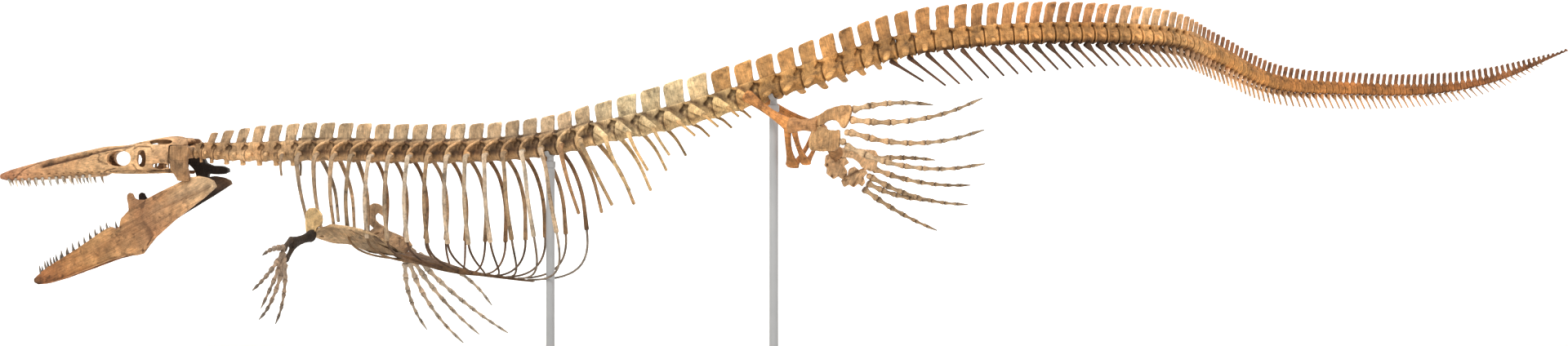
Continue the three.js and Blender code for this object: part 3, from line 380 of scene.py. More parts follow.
def boneMaterial(name, **changes):
    look = {**boneLook, **changes}
    material = bpy.data.materials.new(name)
    material.use_nodes = True
    make = nodeMaker(material)
    place = make("ShaderNodeTexCoord").outputs["Object"]
    tone = make("ShaderNodeAttribute", attribute_name="tone", attribute_type="GEOMETRY")
    grain = make("ShaderNodeAttribute", attribute_name="grain", attribute_type="GEOMETRY")

    def noise(size, source, detail=3.0, rough=0.6):
        inputs = {"Vector": source, "Scale": size, "Detail": detail, "Roughness": rough}
        return make("ShaderNodeTexNoise", inputs).outputs["Fac"]

    def span(value, low, high, outLow, outHigh):
        inputs = {"Value": value, "From Min": low, "From Max": high, "To Min": outLow, "To Max": outHigh}
        return make("ShaderNodeMapRange", inputs).outputs["Result"]

    def times(first, second):
        return make("ShaderNodeMath", {0: first, 1: second}, operation="MULTIPLY").outputs[0]

    patches = span(noise(look["patchSize"], place, 4.0), 0.32, 0.68, look["darkPatch"], look["lightPatch"])
    mottle = span(
        noise(look["mottleSize"], place, 5.0, 0.7), 0.3, 0.7, 1 - look["mottle"], 1 + look["mottle"],
    )
    stretched = make("ShaderNodeMapping", {"Vector": grain.outputs["Vector"], "Scale": (0.012, 0.16, 0.16)})
    streaks = noise(1.0, stretched.outputs["Vector"], 3.0, 0.7)
    streaksLift = span(streaks, 0.3, 0.7, 1 - look["streak"], 1 + look["streak"])
    specks = noise(look["speckSize"], place, 2.0, 0.6)
    pits = span(specks, 0.32, 0.42, 0.72, 1.0)
    cells = make(
        "ShaderNodeTexVoronoi", {"Vector": place, "Scale": look["crackSize"], "Randomness": 1.0},
        feature="DISTANCE_TO_EDGE",
    )
    cracks = span(cells.outputs["Distance"], 0.0, 0.018, 0.0, 1.0)
    crackField = span(noise(9.0, place, 2.0), 0.55, 0.62, 0.0, 1.0)
    crackShade = make(
        "ShaderNodeMix", {0: crackField, 2: 1.0, 3: span(cracks, 0.0, 1.0, 0.62, 1.0)}, data_type="FLOAT"
    ).outputs[0]
    # Pointiness lightens convex edges as wear and darkens creases as painted shade.
    edges = span(make("ShaderNodeNewGeometry").outputs["Pointiness"], 0.44, 0.56, 0.66, 1.26)
    stains = span(noise(look["stainSize"], place, 5.0, 0.65), 0.56, 0.66, 1.0, 1 - look["stain"])
    # Ambient occlusion mixes a near-black brown into hollows and the gaps between bones: painted shade.
    hollow = make("ShaderNodeAmbientOcclusion", {"Distance": look["grimeReach"]}, samples=6)
    grime = span(hollow.outputs["AO"], 0.25, 0.95, 1 - look["grime"], 1.0)

    lift = times(
        times(times(patches, mottle), times(streaksLift, pits)), times(times(edges, stains), crackShade),
    )
    shaded = make(
        "ShaderNodeMix", {0: 1.0, 6: tone.outputs["Color"], 7: lift}, data_type="RGBA", blend_type="MULTIPLY"
    )
    warm = make("ShaderNodeMix", {
        0: span(noise(14.0, place, 3.0), 0.45, 0.72, 0.0, 0.4), 6: shaded.outputs[2], 7: (0.0, 0.0, 0.0, 1.0),
    }, data_type="RGBA", blend_type="MIX")
    rust = make("ShaderNodeMix", {0: 1.0, 6: shaded.outputs[2], 7: (1.06, 0.86, 0.66, 1.0)},
                data_type="RGBA", blend_type="MULTIPLY")
    material.node_tree.links.new(rust.outputs[2], warm.inputs[7])
    dirt = make("ShaderNodeMix", {0: grime, 6: (0.055, 0.03, 0.014, 1.0), 7: warm.outputs[2]},
                data_type="RGBA", blend_type="MIX")

    relief = make("ShaderNodeMath", {
        0: times(streaks, 0.8), 1: times(specks, 0.5),
    }, operation="ADD").outputs[0]
    relief = make("ShaderNodeMath", {
        0: relief, 1: times(noise(70.0, place, 4.0, 0.7), 1.0),
    }, operation="ADD").outputs[0]
    relief = make("ShaderNodeMath", {0: relief, 1: times(crackShade, 1.2)}, operation="ADD").outputs[0]
    bump = make("ShaderNodeBump", {"Height": relief, "Strength": look["bump"], "Distance": look["bumpDepth"]})
    rough = span(noise(40.0, place, 3.0), 0.3, 0.7, look["roughness"] - 0.1, look["roughness"] + 0.14)
    skin = make("ShaderNodeBsdfPrincipled", {
        "Base Color": dirt.outputs[2], "Roughness": rough, "Normal": bump.outputs["Normal"],
        "Specular IOR Level": 0.35,
    })
    make("ShaderNodeOutputMaterial", {"Surface": skin.outputs["BSDF"]})
    return material


finishes = {
    "pale": boneMaterial("tanFossilBone"),
    "rust": boneMaterial("rustFossilBone", mottle=0.4, grime=0.46),
    "dark": boneMaterial("darkFossilBone", mottle=0.38, patchSize=7.0, grime=0.5),
    "skull": boneMaterial("skullFossilBone", mottleSize=22.0, patchSize=8.0, mottle=0.4, crackSize=13.0),
}
print("finishes ready")


# The column.

column = {
    "count": 130,
    "route": [
        (-2510, 800, 1155), (-2220, 750, 1140), (-1710, 570, 1140), (-1220, 380, 1130),
        (-750, 200, 1135), (-385, 60, 1170), (-120, -30, 1230), (265, -170, 1305),
        (640, -300, 1410), (1000, -410, 1525), (1370, -500, 1635), (1745, -540, 1685),
        (2140, -530, 1705), (2530, -430, 1705), (2790, -240, 1695), (3060, 100, 1640),
        (3465, 480, 1525), (3920, 640, 1500), (4385, 680, 1500), (4725, 620, 1560),
        (5070, 500, 1710),
    ],
    "pitch": [
        (1, 46), (2, 70), (3, 96), (5, 108), (8, 116), (12, 122), (16, 116), (19, 109), (23, 108),
        (25, 137), (28, 137), (30, 120), (34, 106), (36, 86), (39, 92), (42, 72), (45, 66), (52, 62),
        (58, 62), (64, 55), (80, 43), (95, 36), (115, 31), (130, 21),
    ],
    "radius": [
        (1, 34), (3, 36), (8, 40), (30, 43), (36, 42), (44, 44), (60, 46), (70, 44), (78, 37),
        (88, 32), (100, 28), (110, 22), (120, 15), (127, 8), (130, 4),
    ],
    "arch": [
        (1, 50), (8, 68), (30, 66), (36, 60), (44, 50), (60, 48), (70, 46), (78, 38), (88, 32),
        (100, 27), (110, 21), (120, 14), (127, 8), (130, 4),
    ],
    "top": [
        (1, 60), (2, 122), (3, 140), (5, 168), (8, 180), (18, 172), (24, 176), (27, 203), (29, 195),
        (32, 181), (39, 185), (44, 168), (52, 156), (58, 143), (65, 125), (75, 120), (85, 103),
        (105, 96), (112, 82), (118, 60), (124, 32), (128, 12),
    ],
    "spineLength": [
        (2, 0.62), (6, 0.74), (8, 0.8), (22, 0.78), (24, 0.84), (30, 0.84), (34, 0.78), (40, 0.84),
        (54, 0.86),
        (60, 0.8), (68, 0.68), (100, 0.66),
    ],
    "spineLean": [
        (2, 30), (4, 40), (8, 30), (12, 14), (30, 12), (38, 4), (44, 34), (56, 40), (66, 14), (128, 4),
    ],
    "reach": [
        (3, 62), (8, 78), (30, 78), (31, 120), (33, 190), (38, 170), (41, 115), (48, 82), (58, 52),
    ],
    "chevron": [
        (37, 199), (38, 240), (39, 228), (40, 205), (44, 188), (50, 160), (56, 156), (62, 130),
        (70, 104), (80, 88), (92, 92), (104, 74), (112, 58), (118, 38), (124, 14),
    ],
    "chevronLean": [(37, 0.68), (40, 0.58), (50, 0.7), (60, 0.76), (70, 0.62), (80, 0.46), (124, 0.5)],
    "droop": 0.3, "sacral": 30, "firstChevron": 37, "lastChevron": 124,
}

# Colours along the column, by vertebra: the bodies below and the spines above.
columnColours = {
    "chevron": [
        (37, (88, 62, 46)), (50, (98, 70, 50)), (60, (180, 140, 104)), (72, (212, 166, 122)),
        (90, (196, 146, 100)),
        (124, (164, 122, 88)),
    ],
    "body": [
        (1, (224, 178, 128)), (8, (208, 168, 122)), (12, (192, 152, 108)), (20, (192, 152, 108)),
        (25, (232, 200, 150)),
        (29, (218, 182, 126)), (31, (204, 154, 92)), (38, (200, 148, 88)), (50, (210, 154, 92)),
        (60, (238, 180, 114)), (70, (216, 156, 90)), (90, (194, 130, 70)), (110, (164, 106, 60)),
        (130, (130, 86, 56)),
    ],
    "spine": [
        (1, (194, 156, 118)), (8, (198, 168, 130)), (22, (198, 168, 132)), (25, (230, 204, 158)),
        (28, (226, 198, 150)), (29, (198, 148, 90)), (38, (192, 138, 82)), (50, (194, 136, 88)),
        (55, (228, 180, 130)), (61, (216, 166, 118)), (65, (160, 108, 74)), (76, (158, 104, 68)),
        (86, (140, 92, 62)), (130, (116, 78, 54)),
    ],
}

columnLine = makeLine(column["route"])
rawPitches = [keyed(column["pitch"], n + 1) for n in range(column["count"])]
stretch = columnLine["length"] / sum(rawPitches)


def stationAt(distance):
    # X runs towards the tail, Y to the animal's right and Z up.
    share = np.array([distance / columnLine["length"]])
    back = headingsOn(columnLine, share)[0]
    across = unit(np.cross((0, 0, 1), back))
    up = np.cross(back, across)
    matrix = Matrix.Identity(4)
    for axis, direction in enumerate((back, across, up)):
        matrix.col[axis][:3] = direction
    matrix.col[3][:3] = pointsOn(columnLine, share)[0]
    return matrix


def measureVertebra(number):
    start = sum(rawPitches[: number - 1]) * stretch
    pitch = rawPitches[number - 1] * stretch
    reach = keyed(column["reach"], number)
    return {
        "number": number, "pitch": pitch, "frame": stationAt(start + pitch / 2),
        "radius": keyed(column["radius"], number), "arch": keyed(column["arch"], number),
        "top": keyed(column["top"], number), "long": keyed(column["spineLength"], number),
        "lean": keyed(column["spineLean"], number), "reach": reach,
        "droop": reach * column["droop"] if number > column["sacral"] else 0,
    }


vertebrae = [measureVertebra(n + 1) for n in range(column["count"])]


def vertebra(number):
    return vertebrae[number - 1]


def carried(item, *spot):
    return np.array(item["frame"] @ Vector(spot))


def centrumShape(pitch, radius):
    # Hollow in front, waisted in the middle and domed behind.
    profile = [
        (-0.41, 0.3), (-0.43, 0.62), (-0.47, 0.86), (-0.485, 0.97), (-0.47, 1.02), (-0.42, 0.99),
        (-0.3, 0.87),
        (-0.1, 0.79), (0.1, 0.79), (0.28, 0.88), (0.38, 0.98), (0.41, 0.97), (0.445, 0.84), (0.475, 0.58),
        (0.488, 0.25),
    ]
    return spool([(x * pitch, r * radius) for x, r in profile], 22, "centrum")


def spineShape(item, front, back, thick):
    # A plate with a rounded front corner, a top that climbs backwards and a thicker rim.
    pitch, arch, top, lean = item["pitch"], item["arch"], item["top"], item["lean"]
    half = pitch * item["long"] / 2
    middle = lean * 0.65
    outline = [
        (-half * front, arch * 0.6), (-half * 0.94 + middle * 0.3, arch + 0.3 * (top - arch)),
        (-half * 0.98 + middle * 0.8, top - 30), (-half * 0.9 + middle, top - 14),
        (-half * 0.62 + middle, top - 5),
        (half * 0.2 + middle, top - 1), (half * 0.86 + middle, top + 1), (half + middle, top - 6),
        (half * 1.0 + middle * 0.8, top - 26), (half * 0.9 + middle * 0.3, arch + 0.3 * (top - arch)),
        (half * back, arch * 0.6),
    ]
    plate = slab(outline, thick * 0.7, "spine")
    rim = rod(
        [(-half * 0.72 + middle, 0, top - 12), (middle, 0, top - 8), (half * 0.84 + middle, 0, top - 7)],
        lambda s: thick * 0.55, lambda s: 6, facing=(0, 1, 0), sides=8, rings=8,
    )
    return [plate, rim]


def archShape(item, wide, fill=4):
    # The walls round the spinal cord, with the joints that lap over the next vertebra.
    pitch, radius, arch = item["pitch"], item["radius"], item["arch"]
    wall = slab([
        (-0.36 * pitch, radius * 0.6), (-0.4 * pitch, arch - 12), (-0.36 * pitch, arch + 12),
        (0.38 * pitch, arch + 14), (0.36 * pitch, arch - 2), (0.2 * pitch, arch - 16),
        (0.14 * pitch, radius * 0.6),
    ], wide, "arch")
    # This thin plate closes the gap under the arches, and the painted shade at the foot of the spines darkens
    # it.
    inner = slab([
        (-0.51 * pitch, radius * 0.5), (-0.51 * pitch, arch + fill), (0.51 * pitch, arch + fill),
        (0.51 * pitch, radius * 0.5),
    ], wide * 0.3, "canal")
    disc = spool([
        (-0.515 * pitch, radius * 0.5), (-0.5 * pitch, radius * 0.74),
        (0.5 * pitch, radius * 0.74), (0.515 * pitch, radius * 0.5),
    ], 18, "disc")
    parts = [wall, inner, disc]
    for side in (left, right):
        parts.append(rod(
            [(-0.26 * pitch, side * wide * 0.3, arch - 6), (-0.42 * pitch, side * wide * 0.52, arch + 2),
             (-0.57 * pitch, side * wide * 0.66, arch + 9)],
            lambda s: 12 - 3 * s, lambda s: 9 - 2 * s, facing=(0, 1, 0), sides=8, rings=8,
        ))
        parts.append(rod(
            [(0.18 * pitch, side * wide * 0.26, arch + 8), (0.34 * pitch, side * wide * 0.42, arch + 10),
             (0.45 * pitch, side * wide * 0.56, arch + 8)],
            lambda s: 10 - s, lambda s: 8 - 2 * s, facing=(0, 1, 0), sides=8, rings=8,
        ))
    return parts


def processShape(item, base, tip, thick, root):
    pitch, radius, reach = item["pitch"], item["radius"], item["reach"]
    parts = []
    for side in (left, right):
        parts.append(rod(
            [(root * pitch, side * radius * 0.4, radius * 0.3),
             (root * pitch * 0.6, side * radius, radius * 0.14),
             (0, side * reach, 3)],
            lambda s: base + (tip - base) * s, lambda s: thick * (1 - 0.2 * s), facing=(1, 0, 0), sides=10,
            rings=10,
        ))
    return parts


def neckMaster():
    item = {"pitch": 108, "radius": 38, "arch": 60, "top": 168, "long": 0.6, "lean": 38, "reach": 66}
    parts = [centrumShape(108, 38), *archShape(item, 42, 14), *spineShape(item, 1.2, 1.1, 17)]
    parts += processShape(item, 15, 11, 13, -0.2)
    parts.append(rod(
        [(16, 0, -20), (20, 0, -42), (22, 0, -60)], hourglass(20, 15), hourglass(15, 12),
        sides=10, rings=10,
    ))
    return item, parts


def trunkMaster():
    item = {"pitch": 116, "radius": 41, "arch": 67, "top": 174, "long": 0.77, "lean": 14, "reach": 78}
    parts = [centrumShape(116, 41), *archShape(item, 46, 26), *spineShape(item, 1.0, 1.0, 18)]
    parts += processShape(item, 13, 11, 19, -0.26)
    for side in (left, right):  # the arm to the rib curves forwards and down
        parts.append(rod(
            [(20, side * 22, 68), (8, side * 46, 58), (-16, side * 64, 32), (-28, side * 68, -10)],
            lambda s: 11 - s, lambda s: 9, facing=(0, 1, 0), sides=8, rings=14,
        ))
    return item, parts


def loinMaster():
    item = {"pitch": 124, "radius": 42, "arch": 62, "top": 190, "long": 0.77, "lean": 12, "reach": 96}
    parts = [centrumShape(124, 42), *archShape(item, 46, 16), *spineShape(item, 1.0, 1.0, 18)]
    for side in (left, right):  # a broad arm that slopes down and back to the short ribs
        parts.append(rod(
            [(-48, side * 22, 44), (-16, side * 56, 20), (34, side * 92, -20)],
            lambda s: 23 - 11 * s, lambda s: 15 - 4 * s, facing=(0.5, 0, 0.6), sides=10, rings=14,
        ))
    return item, parts


def pygalMaster():
    item = {"pitch": 104, "radius": 43, "arch": 62, "top": 183, "long": 0.76, "lean": 8, "reach": 190}
    parts = [centrumShape(104, 43), *archShape(item, 40, 16), *spineShape(item, 1.0, 1.0, 18)]
    parts += processShape(item, 25, 17, 10, -0.05)
    return item, parts


def tailMaster():
    item = {"pitch": 66, "radius": 44, "arch": 50, "top": 168, "long": 0.75, "lean": 34, "reach": 84}
    parts = [centrumShape(66, 44), *archShape(item, 34), *spineShape(item, 1.0, 1.0, 13)]
    parts += processShape(item, 13, 9, 9, 0)
    return item, parts


def tailEndMaster():
    item = {"pitch": 42, "radius": 34, "arch": 34, "top": 108, "long": 0.6, "lean": 12, "reach": 34}
    parts = [centrumShape(42, 34), *spineShape(item, 1.3, 1.2, 9)]
    parts.append(spool([(-21.6, 17), (-21, 25), (21, 25), (21.6, 17)], 18, "disc"))
    parts.append(slab([(-15, 14), (-17, 38), (-8, 48), (12, 48), (18, 40), (8, 14)], 20))
    return item, parts


masterMakers = {
    "neck": (neckMaster, 3.4, 3, 2600), "trunk": (trunkMaster, 3.4, 3, 3000),
    "loin": (loinMaster, 3.4, 3, 2800),
    "pygal": (pygalMaster, 3.4, 3, 2600),
    "tail": (tailMaster, 2.6, 2, 1700), "tailEnd": (tailEndMaster, 1.9, 2, 640),
}
# How dark the painted shade is: between the bodies, under the arches, at the foot of the spines and
# underneath, and how far down the side the last of these begins.
vertebraShade = {
    "neck": (0.5, 0.28, 0.85, 0.15, 0.5), "trunk": (0.6, 0.96, 1.0, 0.3, 0.5),
    "loin": (0.3, 0.15, 0.6, 0.15, 0.5),
    "pygal": (0.5, 0.35, 0.6, 0.3, 0.5), "tail": (0.1, 0.15, 0.6, 0.8, 0.25),
    "tailEnd": (0.25, 0.2, 0.4, 0.05, 0.6),
}
shadowRuns = [[(-0.3, 1.1), (0.14, 0.66), (0.56, -0.2)], [(-0.6, 0.16), (-0.36, -0.3)]]


def paintedShadeOn(kind, item, shape):
    x, y, z = shape.T
    pitch, radius, arch = item["pitch"], item["radius"], item["arch"]
    seam, recess, foot, belly, bellyStart = vertebraShade[kind]
    toEnd = np.abs(x) / pitch
    between = smoothStep((toEnd - 0.4) / 0.08) * (z < arch * 0.9)
    level = np.exp(-(((z - radius * 0.42) / (radius * 0.44)) ** 2))
    behind = 0.25 + 0.75 * smoothStep((x / pitch + 0.3) / 0.3)
    under = level * behind * (1 - smoothStep((np.abs(y) - radius * 1.02) / (radius * 0.3)))
    notch = np.exp(-(((z - arch - 14) / 18) ** 2)) * smoothStep((toEnd - 0.3) / 0.08)
    below = smoothStep((-z - radius * bellyStart) / (radius * 0.3))
    slot = np.zeros(len(shape))
    if kind == "loin":  # a painted shadow line behind each sloping arm
        runs = [[(pitch * a, arch * b) for a, b in run] for run in shadowRuns]
        slot = nearLines(shape[:, [0, 2]], runs, 11.0) * (np.abs(y) < radius * 1.1)
    return np.max([between * seam, under * recess, notch * foot, below * belly, slot * 0.95], axis=0)


vertebraMasters = {}
for kind, (maker, voxel, smoothing, faces) in masterMakers.items():
    measures, shapes = maker()
    master = melt(shapes, voxel, smoothing, faces, kind + "Vertebra")
    roughen(master, 2.8 if kind != "tailEnd" else 1.2, 14)
    markDustAndShade(master, paintedShadeOn(kind, measures, corners(master.data)))
    bpy.context.scene.collection.objects.unlink(master)
    vertebraMasters[kind] = (measures, master, corners(master.data))
print("vertebra masters ready")


def kindOf(number):
    if number <= 7:
        return "neck"
    if number <= 23:
        return "trunk"
    if number <= 30:
        return "loin"
    if number <= 38:
        return "pygal"
    return "tail" if number <= 60 else "tailEnd"


def copyVertebra(item):
    # Fits a copy of the right master to one vertebra's measures.
    number = item["number"]
    typical, master, shape = vertebraMasters[kindOf(number)]
    x, y, z = shape.T
    height = np.interp(
        z, [-2 * typical["radius"], 0, typical["arch"], typical["top"]],
        [-2 * item["radius"], 0, item["arch"], item["top"] - 1],
    )
    above = np.clip((z - typical["arch"]) / (typical["top"] - typical["arch"]), 0, 1)
    wideHere = (item["pitch"] * item["long"]) / (typical["pitch"] * typical["long"])
    wideScale = item["pitch"] / typical["pitch"] * (1 - above) + wideHere * above
    lean = 0.65 * above
    alongX = (x - lean * typical["lean"]) * wideScale + lean * item["lean"]
    limit = max(item["reach"], item["radius"] * 1.02) if number <= 58 else item["radius"] * 1.02
    out = np.interp(np.abs(y), [0, typical["radius"], typical["reach"]], [0, item["radius"], limit - 1])
    beyond = np.clip((out - item["radius"] * 0.6) / max(limit, 1), 0, 1)
    height = height - item["droop"] * beyond
    if number in (1, 2):  # the two bones behind the skull keep low
        height = np.minimum(height, item["top"] - 2)
    mesh = master.data.copy()
    places = np.stack([alongX, np.sign(y) * out, height], axis=1)
    moveCorners(mesh, places)
    setGrain(mesh, np.stack([height, alongX, y], axis=1) + 300 * number)
    piece = bpy.data.objects.new("vertebra", mesh)
    bpy.context.scene.collection.objects.link(piece)
    body, spine = (shade(keyedColour(columnColours[key], number)) for key in ("body", "spine"))
    share = smoothStep((height - item["arch"]) / 26)[:, None]
    tint(piece, np.array(body) * (1 - share) + np.array(spine) * share)
    return place(piece, item["frame"])


def chevronBone(item):
    # Two arms under the vertebra that meet in one blade, slanting back.
    number, radius, pitch = item["number"], item["radius"], item["pitch"]
    long = keyed(column["chevron"], number)
    lean = keyed(column["chevronLean"], number)
    down = math.sqrt(1 - lean * lean)
    thick = max(3.2, radius * 0.17)

    def spot(share, out=0.0):
        drop = radius * 0.86 + (down * long - 0.02 * long) * share
        return carried(item, lean * long * share - 0.04 * pitch, out, -drop)

    parts = []
    fork = 0.3
    for side in (left, right):
        parts.append(rod(
            [spot(0, side * radius * 0.42), spot(fork * 0.6, side * radius * 0.3),
             spot(fork + 0.06, side * 1.0)],
            lambda s: thick * (1.8 - 0.9 * s), sides=6, rings=6,
        ))
    parts.append(rod(
        [spot(fork - 0.04), spot(0.65), spot(0.985)], lambda s: thick * (1.15 - 0.45 * s),
        lambda s: thick * 0.8, sides=6, rings=7,
    ))
    colour = shade(keyedColour(columnColours["chevron"], number))
    return [tint(part, colour, 0.14) for part in parts]


# Short ribs that end freely, by vertebra.
freeRibs = {
    "numbers": (7, 8, 9, 10, 22, 23, 24, 25, 26, 27, 28, 29),
    "length": [
        (7, 120), (8, 400), (9, 450), (10, 458), (22, 385), (23, 400), (24, 350), (25, 262), (26, 205),
        (27, 156), (28, 140), (29, 112),
    ],
    "back": [
        (7, 0.05), (8, 0.26), (9, 0.2), (10, 0.14), (22, 0.14), (23, 0.3), (25, 0.45), (26, 0.5), (27, 0.7),
        (29, 0.68),
    ],
    "colour": [
        (7, (150, 128, 104)), (10, (158, 130, 100)), (22, (146, 112, 78)), (24, (196, 164, 118)),
        (29, (170, 132, 84)),
    ],
}


def freeRib(item, side):
    number = item["number"]
    long = keyed(freeRibs["length"], number)
    reach = item["reach"] - 12
    back = keyed(freeRibs["back"], number) * long
    down = -math.sqrt(long * long - back * back)
    rootBack, rootDown = (22, -18) if kindOf(number) == "loin" else (0, 0)
    path = [
        carried(item, rootBack, side * reach, 6 + rootDown),
        carried(item, rootBack + 0.14 * back, side * (reach + 0.12 * long), rootDown + 0.08 * down),
        carried(item, 0.62 * back, side * (reach + 0.22 * long), 0.48 * down),
        carried(item, back, side * (reach + 0.18 * long), 0.97 * down),
    ]
    thick = min(12, 7 + long * 0.012)
    rib = rod(
        path, lambda s: thick * (1.35 - 0.75 * s**0.6 + 0.18 * s**6), lambda s: thick * (1.0 - 0.35 * s),
        sides=9, rings=22,
    )
    return tint(rib, shade(keyedColour(freeRibs["colour"], number)), 0.14)


columnPieces = [
    ("neck", 1, 7, "pale", "pale_bone"), ("trunk_front", 8, 15, "pale", "pale_bone"),
    ("trunk_middle", 16, 22, "pale", "pale_bone"), ("trunk_rear", 23, 30, "pale", "pale_bone"),
    ("tail_base", 31, 38, "rust", "rust_bone"), ("tail_front", 39, 50, "rust", "rust_bone"),
    ("tail_middle", 51, 68, "rust", "rust_bone"), ("tail_bend", 69, 86, "dark", "dark_bone"),
    ("tail_rear", 87, 106, "dark", "dark_bone"), ("tail_tip", 107, 130, "dark", "dark_bone"),
]
for node, first, last, finish, slot in columnPieces:
    bones = []
    for item in vertebrae[first - 1 : last]:
        bones.append(copyVertebra(item))
        if item["number"] in freeRibs["numbers"]:
            bones += [freeRib(item, left), freeRib(item, right)]
        if column["firstChevron"] <= item["number"] <= column["lastChevron"]:
            bones += chevronBone(item)
    words = node.split("_")
    name = words[0] + "".join(word.title() for word in words[1:]) + "Bones"
    finishBone(joinPieces(bones, name), name, finishes[finish], slot, node)
print("column ready")


# Ribs, their cartilages and the breastbone.

chest = {
    "firstRib": 11, "lastRib": 21,
    "reach": [(11, 168), (14, 178), (17, 172), (19, 152), (21, 130)],
    "sweep": [(11, 50), (14, 60), (19, 72), (21, 86)],
    "sideSweep": {left: 0.5, right: 1.15}, "depth": [(11, 430), (13, 450), (17, 465), (21, 440)],
    "sternum": [(-1250, 402, 592), (-930, 285, 516), (-505, 112, 474)],
    "sternumThick": [(0, 30), (0.3, 38), (0.46, 30), (0.6, 15), (0.9, 12), (1, 5)], 
    "dive": [(11, 0.3), (15, 0.42), (21, 0.5)], "arrive": [(11, -0.3), (14, -0.1), (17, 0.34), (21, 0.62)],
    "nearColours": [(176, 156, 132), (162, 140, 114), (184, 164, 140), (150, 124, 94)],
    # The far ribs are coloured darker as painted shade.
    "farShadedColours": [(142, 112, 82), (124, 94, 66), (150, 122, 92), (132, 100, 68)],
    "cartilageColour": [(11, (130, 104, 74)), (14, (84, 60, 42)), (18, (92, 70, 52)), (21, (136, 122, 108))],
    "sternumColour": (110, 80, 52),
}
sternumLine = makeLine(chest["sternum"])
bodyRight = np.array([0.36, 0.933, 0])
bodyBack = np.array([0.933, -0.36, 0])


def sternumHalf(share):
    return 14 + 78 * max(0.0, 1 - share / 0.45) ** 0.7


def halfSternum(side):
    # A shallow plate that narrows to a rod behind.
    clearSelection()
    bpy.ops.mesh.primitive_cube_add(size=1)
    half = bpy.context.object
    bpy.ops.object.mode_set(mode="EDIT")
    bpy.ops.mesh.subdivide(number_cuts=7)
    bpy.ops.mesh.subdivide(number_cuts=2)
    bpy.ops.object.mode_set(mode="OBJECT")
    shape = corners(half.data)
    share = shape[:, 0] + 0.5
    out = side * shape[:, 1] + 0.5
    widths = np.array([sternumHalf(s) for s in share])
    rounded = 1 - 0.55 * np.abs(2 * out - 1) ** 4
    across = side * (0.3 + (widths - 0.3) * out)
    places = pointsOn(sternumLine, share) + across[:, None] * bodyRight
    thick = np.interp(share, *zip(*chest["sternumThick"]))
    places[:, 2] += thick * shape[:, 2] * rounded + 14 * out * (1 - share)
    moveCorners(half.data, places)
    return tint(half, shade(chest["sternumColour"]), 0.1)


def longRib(item, side):
    number = item["number"]
    reach = item["reach"] + 0.3
    wide, sweep, depth = (keyed(chest[key], number) for key in ("reach", "sweep", "depth"))
    sweep *= chest["sideSweep"][side]
    share = (number - chest["firstRib"]) / (chest["lastRib"] - chest["firstRib"])
    landing = 0.1 + 0.86 * share
    foot = pointsOn(sternumLine, np.array([landing]))[0] + bodyRight * side * sternumHalf(landing) * 0.6
    foot[2] += 6
    boneEnd = carried(item, sweep * 1.02, side * wide * 0.86, -depth)
    whole = makeLine([
        carried(item, 0, side * reach, 2), carried(item, 0, side * (reach + 24), 2),
        carried(item, sweep * 0.6, side * wide * 0.88, -0.24 * depth),
        carried(item, sweep * 0.9, side * wide, -0.58 * depth), boneEnd,
    ], 400)
    bony = pointsOn(whole, np.linspace(0, 1, 14))
    # The cartilage carries on the rib's curve and lies down along the breastbone.
    heading = headingsOn(whole, np.array([1.0]))[0]
    apart = np.linalg.norm(foot - boneEnd)
    leave = boneEnd + heading * apart * keyed(chest["dive"], number)
    arrive = foot + bodyBack * apart * keyed(chest["arrive"], number) + bodyRight * side * 0.12 * apart
    soft = [
        (1 - t) ** 3 * (boneEnd - heading * 4) + 3 * (1 - t) ** 2 * t * leave
        + 3 * (1 - t) * t**2 * arrive + t**3 * foot
        for t in np.linspace(0, 1, 11)
    ]
    rib = rod(
        bony, lambda s: 15.5 - 5 * min(1, s / 0.2) + 2.5 * max(0, s - 0.8) / 0.2, lambda s: 9.5 - 1.5 * s,
        sides=10, rings=30, blunt=0.8,
    )
    cartilage = rod(soft, lambda s: 6.6 - 1.6 * s, lambda s: 6.0 - 1.4 * s, sides=7, rings=20)
    colours = chest["nearColours" if side == left else "farShadedColours"]
    return [
        tint(rib, shade(colours[number % len(colours)]), 0.12),
        tint(cartilage, shade(keyedColour(chest["cartilageColour"], number)), 0.15),
    ]


for word, side in (("left", left), ("right", right)):
    bones = [halfSternum(side)]
    for item in vertebrae[chest["firstRib"] - 1 : chest["lastRib"]]:
        bones += longRib(item, side)
    name = "ribs" + word.title()
    finishBone(joinPieces(bones, name), name, finishes["pale"], "pale_bone", "ribs_" + word)
print("ribs ready")


# Skull.

